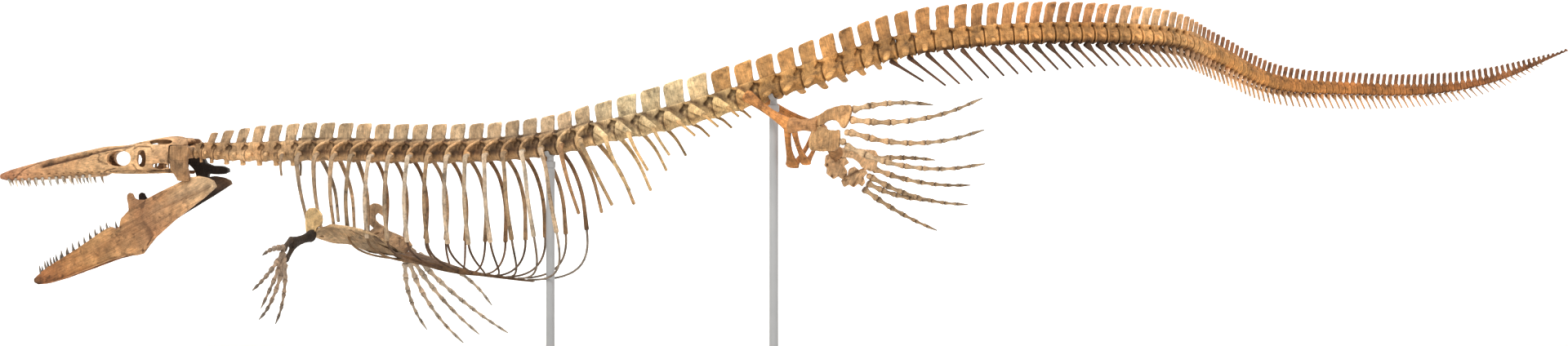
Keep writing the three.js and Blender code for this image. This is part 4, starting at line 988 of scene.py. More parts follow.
skull = {
    "snout": -3615, "middle": 800, "roofLength": 1010, "length": 1095, "wall": 20,
    "half": [
        (0, 12), (30, 22), (100, 38), (280, 60), (460, 82), (600, 105), (740, 130), (830, 145),
        (920, 156), (1010, 166), (1100, 168),
    ],
    "top": [
        (0, 1034), (30, 1047), (100, 1070), (280, 1118), (460, 1160), (600, 1190), (740, 1198),
        (830, 1220), (920, 1240), (1010, 1250), (1095, 1240),
    ],
    "bottom": [
        (0, 1006), (30, 998), (100, 997), (280, 1002), (460, 1012), (600, 1022), (740, 1027), (1100, 1027),
    ],
    "orbit": (716, 1121, 71, 43), "backWindow": (852, 1120, 25, 48), "cheekSlot": (957, 1080, 44, 15),
    "archGap": (940, 1212, 84, 14), "roofWindow": (885, 76, 84, 40), "farShift": 30,
    "noseGroove": [(262, 1080), (400, 1115), (530, 1145), (640, 1170), (770, 1193)], "quadrateTop": 1194,
    "colours": [
        (0, (178, 122, 88)), (240, (202, 152, 108)), (500, (208, 164, 118)), (800, (214, 172, 126)),
        (1095, (200, 156, 114)),
    ],
    "quadrate": [
        (-2548, 966), (-2524, 956), (-2498, 966), (-2494, 1000), (-2502, 1040), (-2512, 1086), (-2510, 1120),
        (-2500, 1150), (-2498, 1178), (-2510, 1193), (-2560, 1194), (-2600, 1190), (-2604, 1150),
        (-2603, 1096),
        (-2598, 1058), (-2576, 1030), (-2560, 1002),
    ],
    "farQuadrate": [
        (-2548, 966), (-2524, 956), (-2498, 966), (-2490, 1010), (-2486, 1036), (-2440, 1032), (-2396, 1034),
        (-2372, 1046), (-2374, 1066), (-2404, 1080), (-2462, 1082), (-2500, 1098), (-2512, 1124),
        (-2500, 1150),
        (-2498, 1178), (-2510, 1193), (-2550, 1194), (-2600, 1190), (-2622, 1168), (-2616, 1130),
        (-2600, 1092),
        (-2572, 1064), (-2556, 1030),
    ],
    # The far quadrate is coloured near black as painted shade.
    "quadrateColourFarShaded": {"left": (172, 132, 92), "right": (34, 24, 17)},
    "voxel": 3.6, "faces": 90000,
}


def skullX(back):
    return skull["snout"] + back


def skullForm(inset, floorDrop, start, stop, boxy):
    # The skull's outer form, or with an inset the room inside it.
    sides, rings = 28, 40
    mesh, ring, turn = rodMaster(sides, rings)
    mesh = mesh.copy()
    stations = np.array([start, start, *np.linspace(start + 8, stop - 2, rings - 3), stop, stop])
    grow = np.ones(rings + 1)
    grow[[0, rings]] = 0
    grow[[1, rings - 1]] = 0.8
    back = stations[ring]
    half, top, bottom = (np.interp(back, *zip(*skull[key])) for key in ("half", "top", "bottom"))
    half, top, bottom = half - inset, top - inset * 1.2, bottom - floorDrop
    power = np.interp(back, [100, 700], [0.85, boxy])
    across, rise = np.cos(turn), np.sin(turn)
    across, rise = np.sign(across) * np.abs(across) ** power, np.sign(rise) * np.abs(rise) ** power
    narrow = 1 - np.interp(back, [60, 300, 560, 700], [0, 0.34, 0.26, 0]) * np.clip(rise, 0, 1) ** 1.5
    places = np.stack([
        skullX(back), skull["middle"] + across * half * grow[ring] * narrow,
        (top + bottom) / 2 + rise * (top - bottom) / 2 * grow[ring],
    ], axis=1)
    moveCorners(mesh, places)
    piece = bpy.data.objects.new("skullForm", mesh)
    bpy.context.scene.collection.objects.link(piece)
    makeActive(piece)
    bpy.ops.object.mode_set(mode="EDIT")
    bpy.ops.mesh.select_all(action="SELECT")
    bpy.ops.mesh.normals_make_consistent(inside=False)
    bpy.ops.object.mode_set(mode="OBJECT")
    return piece


def cut(whole, cutter):
    applyModifier(whole, "BOOLEAN", operation="DIFFERENCE", solver="EXACT", object=cutter)
    bpy.data.objects.remove(cutter)


def roundOutline(centreX, centreZ, halfX, halfZ, count=20, power=0.8):
    turns = [2 * math.pi * n / count for n in range(count)]
    soft = [(math.cos(t), math.sin(t)) for t in turns]
    return [
        (centreX + halfX * math.copysign(abs(c) ** power, c),
         centreZ + halfZ * math.copysign(abs(s) ** power, s))
        for c, s in soft
    ]


def sideWindow(whole, key, side, power=0.8):
    # An opening through one wall; those of the far side lie a little further forward.
    back, height, halfX, halfZ = skull[key]
    shift = skull["farShift"] if side == right else 0
    cutter = slab(roundOutline(skullX(back - shift), height, halfX, halfZ, 20, power), 298)
    cut(whole, place(cutter, Matrix.Translation((0, skull["middle"] + side * 150, 0))))


def skullSutures():
    def run(*points):
        return [(skullX(back), height) for back, height in points]

    lines = [
        run((96, 1006), (150, 1060), (210, 1090), (270, 1112)),
        run((570, 1166), (600, 1140), (592, 1112), (626, 1096), (648, 1090)),
        run((600, 1030), (640, 1052), (690, 1064)),
        run((640, 1150), (700, 1176), (770, 1180), (800, 1196)),
        run((800, 1090), (822, 1056), (862, 1046), (900, 1036)),
        run((800, 1170), (826, 1190), (900, 1186), (920, 1160), (1000, 1150), (1060, 1168)),
        run((1004, 1100), (1010, 1150), (1022, 1192)),
        run((660, 1046), (760, 1048), (900, 1054), (1080, 1048)),
    ]
    pits = [run((90 + n * 42, 1026 + n * 1.6), (93 + n * 42, 1027 + n * 1.6)) for n in range(13)]
    return lines, pits


def makeSkull():
    middle = skull["middle"]
    whole = skullForm(0, 0, 0, skull["length"], 0.62)
    applyModifier(whole, "REMESH", mode="VOXEL", voxel_size=6.0)
    cut(whole, skullForm(skull["wall"], 260, 590, skull["length"] + 60, 0.6))
    for side in (left, right):
        for key in ("orbit", "backWindow", "cheekSlot", "archGap"):
            sideWindow(whole, key, side)
        back, out, long, wide = skull["roofWindow"]
        opening = roundOutline(skullX(back), 0, long, wide, 20, 0.9)
        cutter = slab([(x, middle + side * out + y) for x, y in opening], 160)
        turn = Matrix(((1, 0, 0, 0), (0, 0, 1, 0), (0, 1, 0, 1250), (0, 0, 0, 1)))
        place(cutter, turn)
        makeActive(cutter)
        bpy.ops.object.mode_set(mode="EDIT")
        bpy.ops.mesh.select_all(action="SELECT")
        bpy.ops.mesh.normals_make_consistent(inside=False)
        bpy.ops.object.mode_set(mode="OBJECT")
        cut(whole, cutter)
    bay = slab([
        (skullX(1008), 800), (skullX(1300), 800), (skullX(1300), skull["quadrateTop"]),
        (skullX(1008), skull["quadrateTop"]),
    ], 700)
    cut(whole, place(bay, Matrix.Translation((0, middle, 0))))
    roofEndX, pastBack = skullX(skull["roofLength"]), skullX(1300)
    roofEnd = slab([
        (roofEndX, 1000), (pastBack, 1000), (pastBack, 1400), (roofEndX, 1400),
    ], 190)
    cut(whole, place(roofEnd, Matrix.Translation((0, middle, 0))))

    condyle = column["route"][0]
    parts = [whole]
    parts.append(rod(  # braincase and the ball for the neck
        [(skullX(880), middle, 1150), (skullX(960), middle, 1152), (skullX(1050), middle, 1156),
         (condyle[0] - 2, condyle[1], condyle[2])],
        lambda s: 40 + 10 * s - 22 * s**4, lambda s: 52 - 16 * s - 8 * s**4, facing=(0, 1, 0), sides=14,
        rings=14,
    ))
    parts.append(rod(  # the ridge along the roof between the two openings
        [(skullX(800), middle, 1206), (skullX(890), middle, 1222), (skullX(1002), middle, 1238)],
        lambda s: 20 - 8 * s, lambda s: 12, facing=(0, 1, 0), sides=10, rings=10,
    ))
    parts.append(slab([
        (skullX(896), 1150), (skullX(1006), 1150), (skullX(1008), 1236), (skullX(890), 1226),
    ], 22))
    place(parts[-1], Matrix.Translation((0, middle, 0)))
    for side in (left, right):
        parts.append(rod(
            [(skullX(994), middle + side * 6, 1226), (skullX(1030), middle + side * 60, 1222),
             (skullX(1058), middle + side * 110, 1218), (skullX(1066), middle + side * 146, 1212)],
            lambda s: 20, lambda s: 15, sides=10, rings=12,
        ))
        parts.append(rod(
            [(skullX(1046), middle + side * 20, 1162), (skullX(1056), middle + side * 84, 1182),
             (skullX(1066), middle + side * 146, 1206)],
            lambda s: 18 + 5 * s, lambda s: 20 - 3 * s, sides=10, rings=12,
        ))
        parts.append(rod(  # palate bars with their small teeth
            [(skullX(590), middle + side * 34, 1052), (skullX(760), middle + side * 48, 1046),
             (skullX(940), middle + side * 78, 1050), (skullX(1058), middle + side * 112, 1044)],
            lambda s: 15 - 4 * s, lambda s: 13 - 2 * s, facing=(0, 1, 0), sides=10, rings=20,
        ))
        parts.append(rod(
            [(skullX(900), middle + side * 66, 1056), (skullX(906), middle + side * 58, 1130),
             (skullX(912), middle + side * 44, 1186)],
            lambda s: 7, sides=8, rings=10,
        ))
    whole = melt(parts, skull["voxel"], 3, skull["faces"], "skullBones")
    lines, pits = skullSutures()
    outside = lambda shape: (
        np.abs(shape[:, 1] - middle) > np.interp(shape[:, 0] - skull["snout"], *zip(*skull["half"])) * 0.5
    )
    carve(whole, lines, 3.8, 5.0, outside)
    carve(whole, pits, 3.6, 5.0, outside)
    # The nostril groove is darkened fully as painted shade of the opening.
    groove = [(skullX(back), height) for back, height in skull["noseGroove"]]
    apart = lambda shape: np.abs(shape[:, 1] - middle) > 16
    carve(whole, [groove[:3]], 12.0, 13.0, apart, 1.0, around=True)
    carve(whole, [groove[2:]], 7.5, 8.0, apart, 1.0, around=True)
    # The inside walls are painted dark as shade.
    shape = corners(whole.data)
    normals = np.zeros(len(shape) * 3, np.float32)
    whole.data.vertices.foreach_get("normal", normals)
    inward = -normals.reshape(-1, 3)[:, 1] * np.sign(shape[:, 1] - middle)
    room = (shape[:, 0] > skullX(600)) & (np.abs(shape[:, 1] - middle) > 60)
    markDustAndShade(whole, smoothStep((inward - 0.2) / 0.4) * room * 0.9)
    roughen(whole, 2.6, 30)
    shape = corners(whole.data)
    setGrain(whole.data, shape - np.array([skull["snout"], 0, 0]))
    paler = 1 + 0.16 * smoothStep((shape[:, 2] - 1130) / 60)[:, None]
    tint(whole, shade(keyedColour(skull["colours"], shape[:, 0] - skull["snout"])) * paler, 0.0)
    return finishBone(whole, "skullBones", finishes["skull"], "skull_bone", "skull")


makeSkull()
print("skull ready")


# Lower jaw, quadrates and teeth.

jaw = {
    "back": (-2365, 655, 992), "tip": (-3414, 790, 442), "thick": 38, "seat": 86,
    "outline": [
        (0, -34), (80, -52), (163, -66), (300, -88), (440, -120), (512, -150), (548, -168), (590, -158),
        (650, -131), (735, -111), (838, -99), (941, -87), (1043, -75), (1141, -55), (1186, -36), (1200, -14),
        (1196, 4), (1150, 16), (1094, 25), (980, 31), (869, 38), (750, 50), (680, 56), (648, 52), (622, 22),
        (606, 30), (577, 66), (540, 78), (513, 86), (500, 120), (492, 150), (482, 168), (464, 172),
        (450, 158),
        (452, 130), (436, 112), (400, 94), (300, 94), (215, 88), (110, 84), (60, 66), (20, 36), (-4, 4),
    ],
    "toothLine": [(650, 52), (750, 50), (869, 38), (1094, 25), (1200, 4)],
    "toothCount": 13, "upperTooth": 44, "lowerTooth": 60, "hiddenDepth": 0.52,
    "voxel": 3.4, "colours": {
        "left": [
            (0, (208, 174, 134)), (200, (204, 158, 112)), (430, (182, 132, 92)), (560, (188, 142, 98)),
            (800, (196, 146, 94)), (1000, (182, 124, 74)), (1150, (156, 102, 62)), (1195, (92, 62, 40)),
        ],
        # The far half is coloured near black from its rear to past the joint as painted shade.
        "right": [
            (0, (112, 86, 64)), (80, (60, 43, 30)), (200, (42, 28, 19)), (540, (44, 30, 20)),
            (700, (178, 122, 80)),
        ],
    },
    "upperToothColour": (176, 164, 148), "lowerToothColour": (104, 92, 80),
}


def jawFrame(side):
    def mirrored(spot):
        out = spot[1] - skull["middle"]
        return np.array([spot[0], skull["middle"] + (out if side == left else -out), spot[2]], float)

    back = mirrored(jaw["back"])
    along = unit(mirrored(jaw["tip"]) - back)
    up = unit(np.array([0, 0, 1]) - along * along[2])
    return back, along, up


def basis(first, second, third, origin):
    matrix = Matrix.Identity(4)
    for axis, direction in enumerate((first, second, third, origin)):
        matrix.col[axis][:3] = direction
    return matrix


def jawThickness(x, z):
    # Full at the tooth row and the lower edge, thin in the hollow between them.
    front = np.interp(
        x, [0, 120, 300, 560, 620, 900, 1150, 1200], [0.95, 1.0, 0.62, 0.66, 0.95, 1.0, 0.8, 0.5],
    )
    low = np.interp(x, [0, 300, 548, 735, 1200], [-34, -88, -168, -111, -14])
    high = np.interp(x, [0, 110, 400, 470, 560, 650, 1200], [10, 84, 94, 150, 70, 52, 0])
    height = np.clip((z - low) / (high - low), 0, 1)
    return front * (
        0.72 + 0.42 * np.exp(-(((height - 0.2) / 0.24) ** 2)) - 0.2 * np.clip(height - 0.75, 0, 1) * 4
    )


def makeJaw(word, side):
    back, along, up = jawFrame(side)
    outline = jaw["outline"]
    if side == right:  # the far half is shallower behind the joint
        outline = [
            (x, z * keyed([(520, jaw["hiddenDepth"]), (650, 1)], x) if z < 0 else z) for x, z in outline
        ]
    piece = melt([slab(outline, jaw["thick"])], jaw["voxel"], 6, 26000, "jaw")
    joint = [[(604, 34), (590, 6), (549, -40), (516, -88), (538, -128), (541, -166)]]
    seams = [
        [(60, 4), (200, 0), (330, -22), (440, -52), (512, -88)],
        [(20, -20), (160, -34), (300, -52), (430, -92), (500, -140)],
        [(400, 92), (430, 62), (520, 44), (588, 26)],
        [(300, 92), (340, 60), (420, 58)],
    ]
    grooves = [[(690, -92), (820, -64), (960, -50), (1120, -30)]]
    pits = [[(680 + n * 44, 16 - n * 1.9), (684 + n * 44, 16 - n * 1.9)] for n in range(12)]
    wedge = [[(512, -88), (522, -104), (528, -118)]]
    hollow = [[(300, 10), (380, 22), (470, 26)]]
    # The joint line and the wedge below it are darkened as painted shade.
    carve(piece, joint, 6.5, 9.0, dustAndShade=0.9)
    carve(piece, wedge, 13.0, 9.0, dustAndShade=1.0)
    carve(piece, hollow, 48.0, 5.0, dustAndShade=0.42)
    carve(piece, seams, 5.5, 5.0, dustAndShade=0.8)
    carve(piece, grooves, 6.0, 4.0)
    carve(piece, pits, 3.6, 5.0)
    carve(piece, [[(600, -150), (735, -106), (1043, -70), (1186, -32)]], 9.0, 2.0, dustAndShade=0.55)
    shape = corners(piece.data)
    shape[:, 1] *= jawThickness(shape[:, 0], shape[:, 2])
    moveCorners(piece.data, shape)
    roughen(piece, 2.6, 26)
    shape = corners(piece.data)
    setGrain(piece.data, shape)
    tint(piece, shade(keyedColour(jaw["colours"][word], shape[:, 0])), 0.02)
    place(piece, basis(along, -np.cross(along, up), up, back))
    shape = corners(piece.data)
    limit = skull["middle"] + side * 0.4
    shape[:, 1] = np.minimum(shape[:, 1], limit) if side == left else np.maximum(shape[:, 1], limit)
    moveCorners(piece.data, shape)
    name = "jaw" + word.title()
    finishBone(piece, name, finishes["skull"], "skull_bone", "mandible_" + word)


def tooth(foot, tip, lean, colour):
    # A pointed cone that curves back, on a swollen root.
    middle = (foot + tip) / 2 - lean * 3.0
    piece = rod(
        [foot, middle, tip], lambda s: 9.0 * (1 - s) ** 0.8 + 0.7, facing=(0, 1, 0), sides=8, rings=9,
    )
    return tint(piece, shade(colour), 0.25)


def makeTeeth():
    upper = []
    for side in (left, right):
        for n in range(jaw["toothCount"]):
            back = 58 + n * 40
            out = side * (keyed(skull["half"], back) - 14)
            foot = np.array([skullX(back), skull["middle"] + out, keyed(skull["bottom"], back) + 14])
            length = jaw["upperTooth"] * dice.uniform(0.75, 1.08) + 8
            tip = foot + np.array([14, 0, -length])
            upper.append(tooth(foot, tip, np.array([1, 0, 0]), jaw["upperToothColour"]))
    finishBone(joinPieces(upper, "upperTeeth"), "upperTeeth", finishes["tooth"], "dark_bone")
    for word, side in (("Left", left), ("Right", right)):
        back, along, up = jawFrame(side)
        lower = []
        for n in range(jaw["toothCount"]):
            spot = 676 + n * 39
            foot = back + along * spot + up * (keyed(jaw["toothLine"], spot) - 10)
            length = jaw["lowerTooth"] * dice.uniform(0.72, 1.0)
            lower.append(tooth(foot, foot + up * length - along * 12, -along, jaw["lowerToothColour"]))
        finishBone(
            joinPieces(lower, "lowerTeeth" + word), "lowerTeeth" + word, finishes["tooth"], "dark_bone",
        )


def makeQuadrate(word, side):
    back, along, up = jawFrame(side)
    outline = skull["quadrate"] if side == left else skull["farQuadrate"]
    piece = place(slab(outline, 42), Matrix.Translation((0, skull["middle"] + side * 140, 0)))
    tilt = 956 - (back + along * 160 + up * (jaw["seat"] + 0.3))[2]
    piece = melt([piece], 3.0, 5, 5000, "quadrate")
    shape = corners(piece.data)
    shape[:, 2] -= tilt * np.clip((1000 - shape[:, 2]) / 44, 0, 1)
    moveCorners(piece.data, shape)
    roughen(piece, 2.0, 18)
    setGrain(piece.data, corners(piece.data)[:, [2, 0, 1]])
    tint(piece, shade(skull["quadrateColourFarShaded"][word]), 0.05)
    finishBone(piece, "quadrate" + word.title(), finishes["skull"], "dark_bone", "quadrate_" + word)


finishes["tooth"] = boneMaterial("toothEnamel", mottle=0.2, grime=0.35, bump=0.2, roughness=0.42)
for word, side in (("left", left), ("right", right)):
    makeJaw(word, side)
    makeQuadrate(word, side)
makeTeeth()
print("jaws and teeth ready")


# Shoulder girdle.

def crossOver(along, up, origin):
    # A frame for a plate whose outline runs along and up.
    return basis(along, np.cross(up, along), up, origin)


def thinPlate(outline, thick, matrix, faces, profile, colour, voxel=3.0, uneven=2.0, cracks=()):
    # A flat bone: softened, then thinned by a profile of its two outline directions.
    piece = melt([slab(outline, thick)], voxel, 7, faces, "flatBone")
    shape = corners(piece.data)
    shape[:, 1] *= profile(shape[:, 0], shape[:, 2])
    moveCorners(piece.data, shape)
    if cracks:
        carve(piece, cracks, 8.0, 8.0, dustAndShade=0.85)
    roughen(piece, uneven, 22)
    setGrain(piece.data, corners(piece.data)[:, [2, 0, 1]])
    tint(piece, shade(colour), 0.05)
    return place(piece, matrix)


shoulder = {
    "blade": [
        (-38, 18), (22, 18), (26, 36), (44, 50), (58, 64), (62, 88), (56, 112), (38, 134), (8, 147),
        (-20, 144),
        (-40, 126), (-48, 96), (-46, 56),
    ],
    "fan": [
        (-44, -58), (36, -58), (60, -24), (100, -6), (140, 8), (192, 26), (240, 48), (290, 92), (328, 150),
        (368, 240), (398, 330), (176, 330), (130, 270), (84, 214), (34, 160), (-14, 112), (-44, 64),
        (-54, 12),
    ],
    "lift": {"left": 44, "right": 6},
    "bladeThick": 26, "fanThick": 20, "inset": 50, "fanSlope": 0.08,
    "hook": [
        (-44, 18), (22, 18), (12, 36), (-22, 52), (-44, 72), (-46, 98), (-30, 112), (-10, 104), (6, 92),
        (20, 102),
        (18, 126), (2, 148), (-26, 164), (-56, 166), (-88, 152), (-108, 122), (-106, 88), (-84, 50),
    ],
    # The far blade and fan are coloured darker as painted shade.
    "bladeColour": {"left": (214, 180, 128), "right": (186, 154, 120)},
    "fanColour": {"left": (194, 160, 120), "right": (172, 138, 102)},
    "foramen": (10, 13, 11, 15),
    "furrows": [[(x, 30 + 0.6 * (x - 150)), (x + 16, 160), (x - 10, 326)] for x in (176, 232, 286, 338)],
}


def makeShoulder(word, side):
    joint = np.array(limbs["fore_" + word]["socket"], float)
    out = bodyRight * side
    blade = thinPlate(
        shoulder["blade" if side == left else "hook"], shoulder["bladeThick"],
        crossOver(bodyBack, np.array([0, 0, 1.0]), joint), 5000,
        lambda x, z: np.interp(z, [18, 50, 90, 147], [1.0, 0.6, 0.42, 0.5]), shoulder["bladeColour"][word],
    )
    finishBone(blade, "scapula" + word.title(), finishes["pale"], "pale_bone", "scapula_" + word)

    # The fan's plane runs from the joint to the front of the breastbone.
    origin = joint - out * shoulder["inset"]
    middle = np.array(chest["sternum"][0], float)
    along = unit(bodyBack - np.array([0, 0, shoulder["fanSlope"]]))
    inward = middle - origin
    inward = unit(inward - along * (inward @ along))
    fan = slab(shoulder["fan"], shoulder["fanThick"])
    x, z, halfX, halfZ = shoulder["foramen"]
    cut(fan, slab(roundOutline(x, z, halfX, halfZ, 12, 0.9), 60))
    fan = melt([fan], 3.4, 6, 14000, "fan")
    shape = corners(fan.data)
    shape[:, 1] *= np.interp(shape[:, 2], [-60, 0, 120, 330], [1.0, 0.95, 0.55, 0.5])
    moveCorners(fan.data, shape)
    carve(fan, shoulder["furrows"], 11.0, 8.0, dustAndShade=0.8)
    roughen(fan, 2.4, 26)
    setGrain(fan.data, corners(fan.data)[:, [2, 0, 1]])
    tint(fan, shade(shoulder["fanColour"][word]), 0.04)
    # The rear rim curls up beside the ribs.
    reached = corners(fan.data)
    lift = smoothStep(reached[:, 0] / 90) * np.clip(1 - reached[:, 2] / 320, 0, 1)
    lift *= 1 + 0.9 * np.clip(reached[:, 0] / 300, 0, 1)
    place(fan, crossOver(along, inward, origin))
    shape = corners(fan.data)
    shape[:, 2] += shoulder["lift"][word] * lift
    # The two fans stop at the midline, level with the front of the breastbone.
    past = np.minimum((shape - middle) @ out - 0.4, 0)
    shape -= past[:, None] / (inward @ out) * inward
    behind = np.maximum((shape - middle) @ bodyBack + 0.4, 0)
    shape -= behind[:, None] * bodyBack
    moveCorners(fan.data, shape)
    finishBone(fan, "coracoid" + word.title(), finishes["pale"], "pale_bone", "coracoid_" + word)


# Limbs.

limbs = {
    "fore_left": {
        "socket": (-1700, 270, 710), "elbow": (-1762, 100, 672), "wrist": (-1769, 10, 624),
        "axis": (-0.043, -0.787, -0.616), "across": (-0.025, 0.617, -0.786),
        "names": ("humerus", "radius", "ulna", "manus"), "girth": 44, "spread": 52,
        "digits": [
            (8, -46, 318, -44, -24), (30, -25, 462, -12, -24), (35, 2, 385, 2, -4), (35, 25, 446, 24, -24),
            (30, 46, 345, 72, -8),
        ],
        "pebbles": [(16, -34, 15), (20, -6, 16), (20, 24, 15), (36, -16, 12), (38, 10, 12)],
        # The near front fin's upper and lower bones are coloured near black as painted shade.
        "finish": "dark", "colours": {
            "upper": (50, 38, 28), "lower": (64, 50, 38), "root": (168, 144, 122), "tip": (98, 86, 74),
        },
    },
    "fore_right": {
        "socket": (-1440, 710, 705), "elbow": (-1385, 850, 635), "wrist": (-1348, 940, 568),
        "axis": (0.568, 0.32, -0.758), "across": (0.816, -0.097, 0.57),
        "names": ("humerus", "radius", "ulna", "manus"), "girth": 44, "spread": 52,
        "digits": [
            (25, -45, 440, -40, -4), (35, -22, 595, -22, 8), (40, 2, 595, -8, 10), (40, 28, 700, 2, 18),
            (30, 48, 535, 38, -8),
        ],
        "pebbles": [(16, -34, 15), (20, -6, 16), (20, 24, 15), (36, -16, 12), (38, 10, 12)],
        "finish": "dark", "colours": {
            "upper": (150, 124, 98), "lower": (164, 138, 112), "root": (204, 182, 158),
            "tip": (166, 152, 134),
        },
    },
    "hind_left": {
        "socket": (830, -540, 1270), "elbow": (960, -680, 1268), "wrist": (1074, -780, 1246),
        "axis": (0.947, -0.317, -0.059), "across": (-0.087, -0.074, -0.993),
        "names": ("femur", "tibia", "fibula", "pes"), "girth": 50, "spread": 92,
        "digits": [
            (40, -92, 388, -18, 6), (34, -44, 640, 6, -30), (34, 14, 650, 16, -24), (20, 78, 680, 24, -16),
        ],
        "tibia": [
            (-166, -44), (-140, -62), (-96, -91), (-56, -103), (-17, -110), (30, -112), (42, -96), (38, -66),
            (32, -40), (18, -12), (4, -2), (-10, -10), (-22, -26), (-40, -38), (-67, -43), (-92, -34),
            (-109, -21), (-130, -14), (-162, -10),
        ],
        "fibula": [
            (-164, -4), (-129, -14), (-104, -8), (-71, 6), (-40, 8), (-15, 4), (-10, 40), (-10, 84),
            (-38, 104),
            (-100, 107), (-166, 103), (-180, 82), (-176, 40),
        ],
        "pebbles": [(24, 16, 16), (6, 60, 17)],
        "finish": "rust", "colours": {
            "upper": (186, 134, 86), "lower": (190, 146, 98), "root": (198, 162, 122), "tip": (142, 122, 98),
        },
    },
    "hind_right": {
        "socket": (975, -160, 1265), "elbow": (1075, -40, 1130), "wrist": (1213, 20, 1040),
        "axis": (0.898, 0.335, -0.285), "across": (-0.357, 0.175, -0.918),
        "names": ("femur", "tibia", "fibula", "pes"), "girth": 50, "spread": 92,
        "digits": [
            (30, -90, 330, -22, -10), (40, -36, 560, 4, -20), (42, 10, 585, 12, -16), (38, 46, 392, 10, -16),
            (30, 80, 490, 18, 4),
        ],
        "tibia": [
            (-176, -82), (-120, -98), (-50, -116), (12, -130), (36, -108), (54, -30), (22, -18), (-25, -24),
            (-52, -44), (-92, -54), (-150, -42),
        ],
        "fibula": [
            (-226, -20), (-206, -44), (-160, -34), (-128, -48), (-98, -28), (-116, -2), (-92, 14), (-80, 44),
            (-98, 68), (-128, 58), (-148, 80), (-186, 66), (-196, 40), (-216, 28),
        ],
        "pebbles": [(34, 8, 16)],
        "heel": [
            (-84, 6), (-62, -16), (-30, -6), (-6, -26), (18, -6), (4, 20), (24, 44), (14, 72), (-12, 62),
            (-26, 90), (-56, 82), (-78, 102), (-100, 78), (-80, 44),
        ],
        "cracks": [
            [(-220, 20), (-160, 6), (-120, 20), (-84, 60)], [(-170, -40), (-150, 4), (-160, 70)],
            [(-90, 40), (-50, 24), (-10, 34), (20, 10)], [(-40, -10), (-44, 30), (-30, 84)],
        ],
        "finish": "rust", "colours": {
            "upper": (180, 132, 86), "lower": (222, 178, 132), "root": (200, 164, 124), "tip": (140, 118, 92),
        },
    },
}
digit = {
    "bones": 8, "shorten": 0.93, "rootHalf": 21, "tipHalf": 8, "flat": 0.8, "gap": 2.0,
    "jointDust": {"rust": 0.7, "dark": 0.4},
    "form": [
        (0, 0.9), (0.1, 1.0), (0.2, 0.84), (0.34, 0.62), (0.5, 0.55), (0.66, 0.6), (0.8, 0.8),
        (0.92, 0.98), (1, 0.88),
    ],
}


def finPlane(limb):
    axis = unit(limb["axis"])
    across = np.array(limb["across"], float)
    return np.array(limb["wrist"], float), axis, unit(across - axis * (across @ axis))


def digitBones(limb, along, side, length, startAngle, endAngle):
    wrist, axis, across = finPlane(limb)
    steps = 4
    points = [wrist + axis * along + across * side]
    for n in range(steps):
        angle = math.radians(startAngle + (endAngle - startAngle) * (n + 0.5) / steps)
        points.append(points[-1] + (axis * math.cos(angle) + across * math.sin(angle)) * length / steps)
    line = makeLine(points, 240)
    count = max(5, round(digit["bones"] * length / 640))
    sizes = np.array([digit["shorten"] ** n for n in range(count)])
    ends = np.concatenate([[0], np.cumsum(sizes)]) / sizes.sum()
    bones = []
    for n in range(count):
        start, stop = ends[n], ends[n + 1] - digit["gap"] / line["length"]
        path = pointsOn(line, np.linspace(start, stop, 4))
        half, nextHalf = (
            digit["rootHalf"] + (digit["tipHalf"] - digit["rootHalf"]) * share for share in (start, stop)
        )
        last = n == count - 1

        def wide(s, half=half, nextHalf=nextHalf, last=last):
            edge = half + (nextHalf - half) * s
            return edge * (1.0 - 0.72 * s) if last else edge * keyed(digit["form"], s)

        bone = rod(
            path, wide, lambda s: wide(s) * digit["flat"], facing=across, sides=10, rings=13, blunt=0.86,
            dustyEnds=digit["jointDust"][limb["finish"]],
        )
        share = (n + 0.5) / count
        colours = limb["colours"]
        mixed = [(1 - share) * a + share * b for a, b in zip(colours["root"], colours["tip"])]
        bones.append(tint(bone, shade(mixed), 0.12))
    return bones


def pebble(limb, along, side, size):
    # A rounded wrist or ankle bone, flat like the paddle.
    wrist, axis, across = finPlane(limb)
    middle = wrist + axis * along + across * side
    bone = rod(
        [middle - axis * size, middle, middle + axis * size],
        lambda s: size * math.sqrt(max(0.04, 1 - (2 * s - 1) ** 2)) ** 0.7,
        lambda s: min(15, size * 0.7) * math.sqrt(max(0.04, 1 - (2 * s - 1) ** 2)) ** 0.6,
        facing=across, sides=12, rings=12, blunt=0.6,
    )
    return tint(bone, shade(limb["colours"]["root"]), 0.1)


def upperBone(limb):
    joint, knee = np.array(limb["socket"], float), np.array(limb["elbow"], float)
    line = unit(knee - joint)
    across = finPlane(limb)[2]
    girth = limb["girth"]
    parts = [rod(
        [joint - line * 4, (joint + knee) / 2, knee + line * 6], hourglass(girth * 0.98, girth * 0.56),
        hourglass(girth * 0.62, girth * 0.42), facing=across, sides=16, rings=18, blunt=0.75,
    )]
    for turn in (-1, 1):
        parts.append(rod(
            [knee - line * 46 + across * turn * girth * 0.3, knee + line * 2 + across * turn * girth * 0.62],
            lambda s: 9 + 9 * s, facing=across, sides=10, rings=8, blunt=0.8,
        ))
    bone = melt(parts, 2.8, 4, 5000, "upperBone")
    setGrain(bone.data, np.stack([
        (corners(bone.data) - joint) @ unit(axis) for axis in (line, across, (0, 0, 1))
    ], axis=1))
    roughen(bone, 2.4, 16)
    return tint(bone, shade(limb["colours"]["upper"]), 0.05)


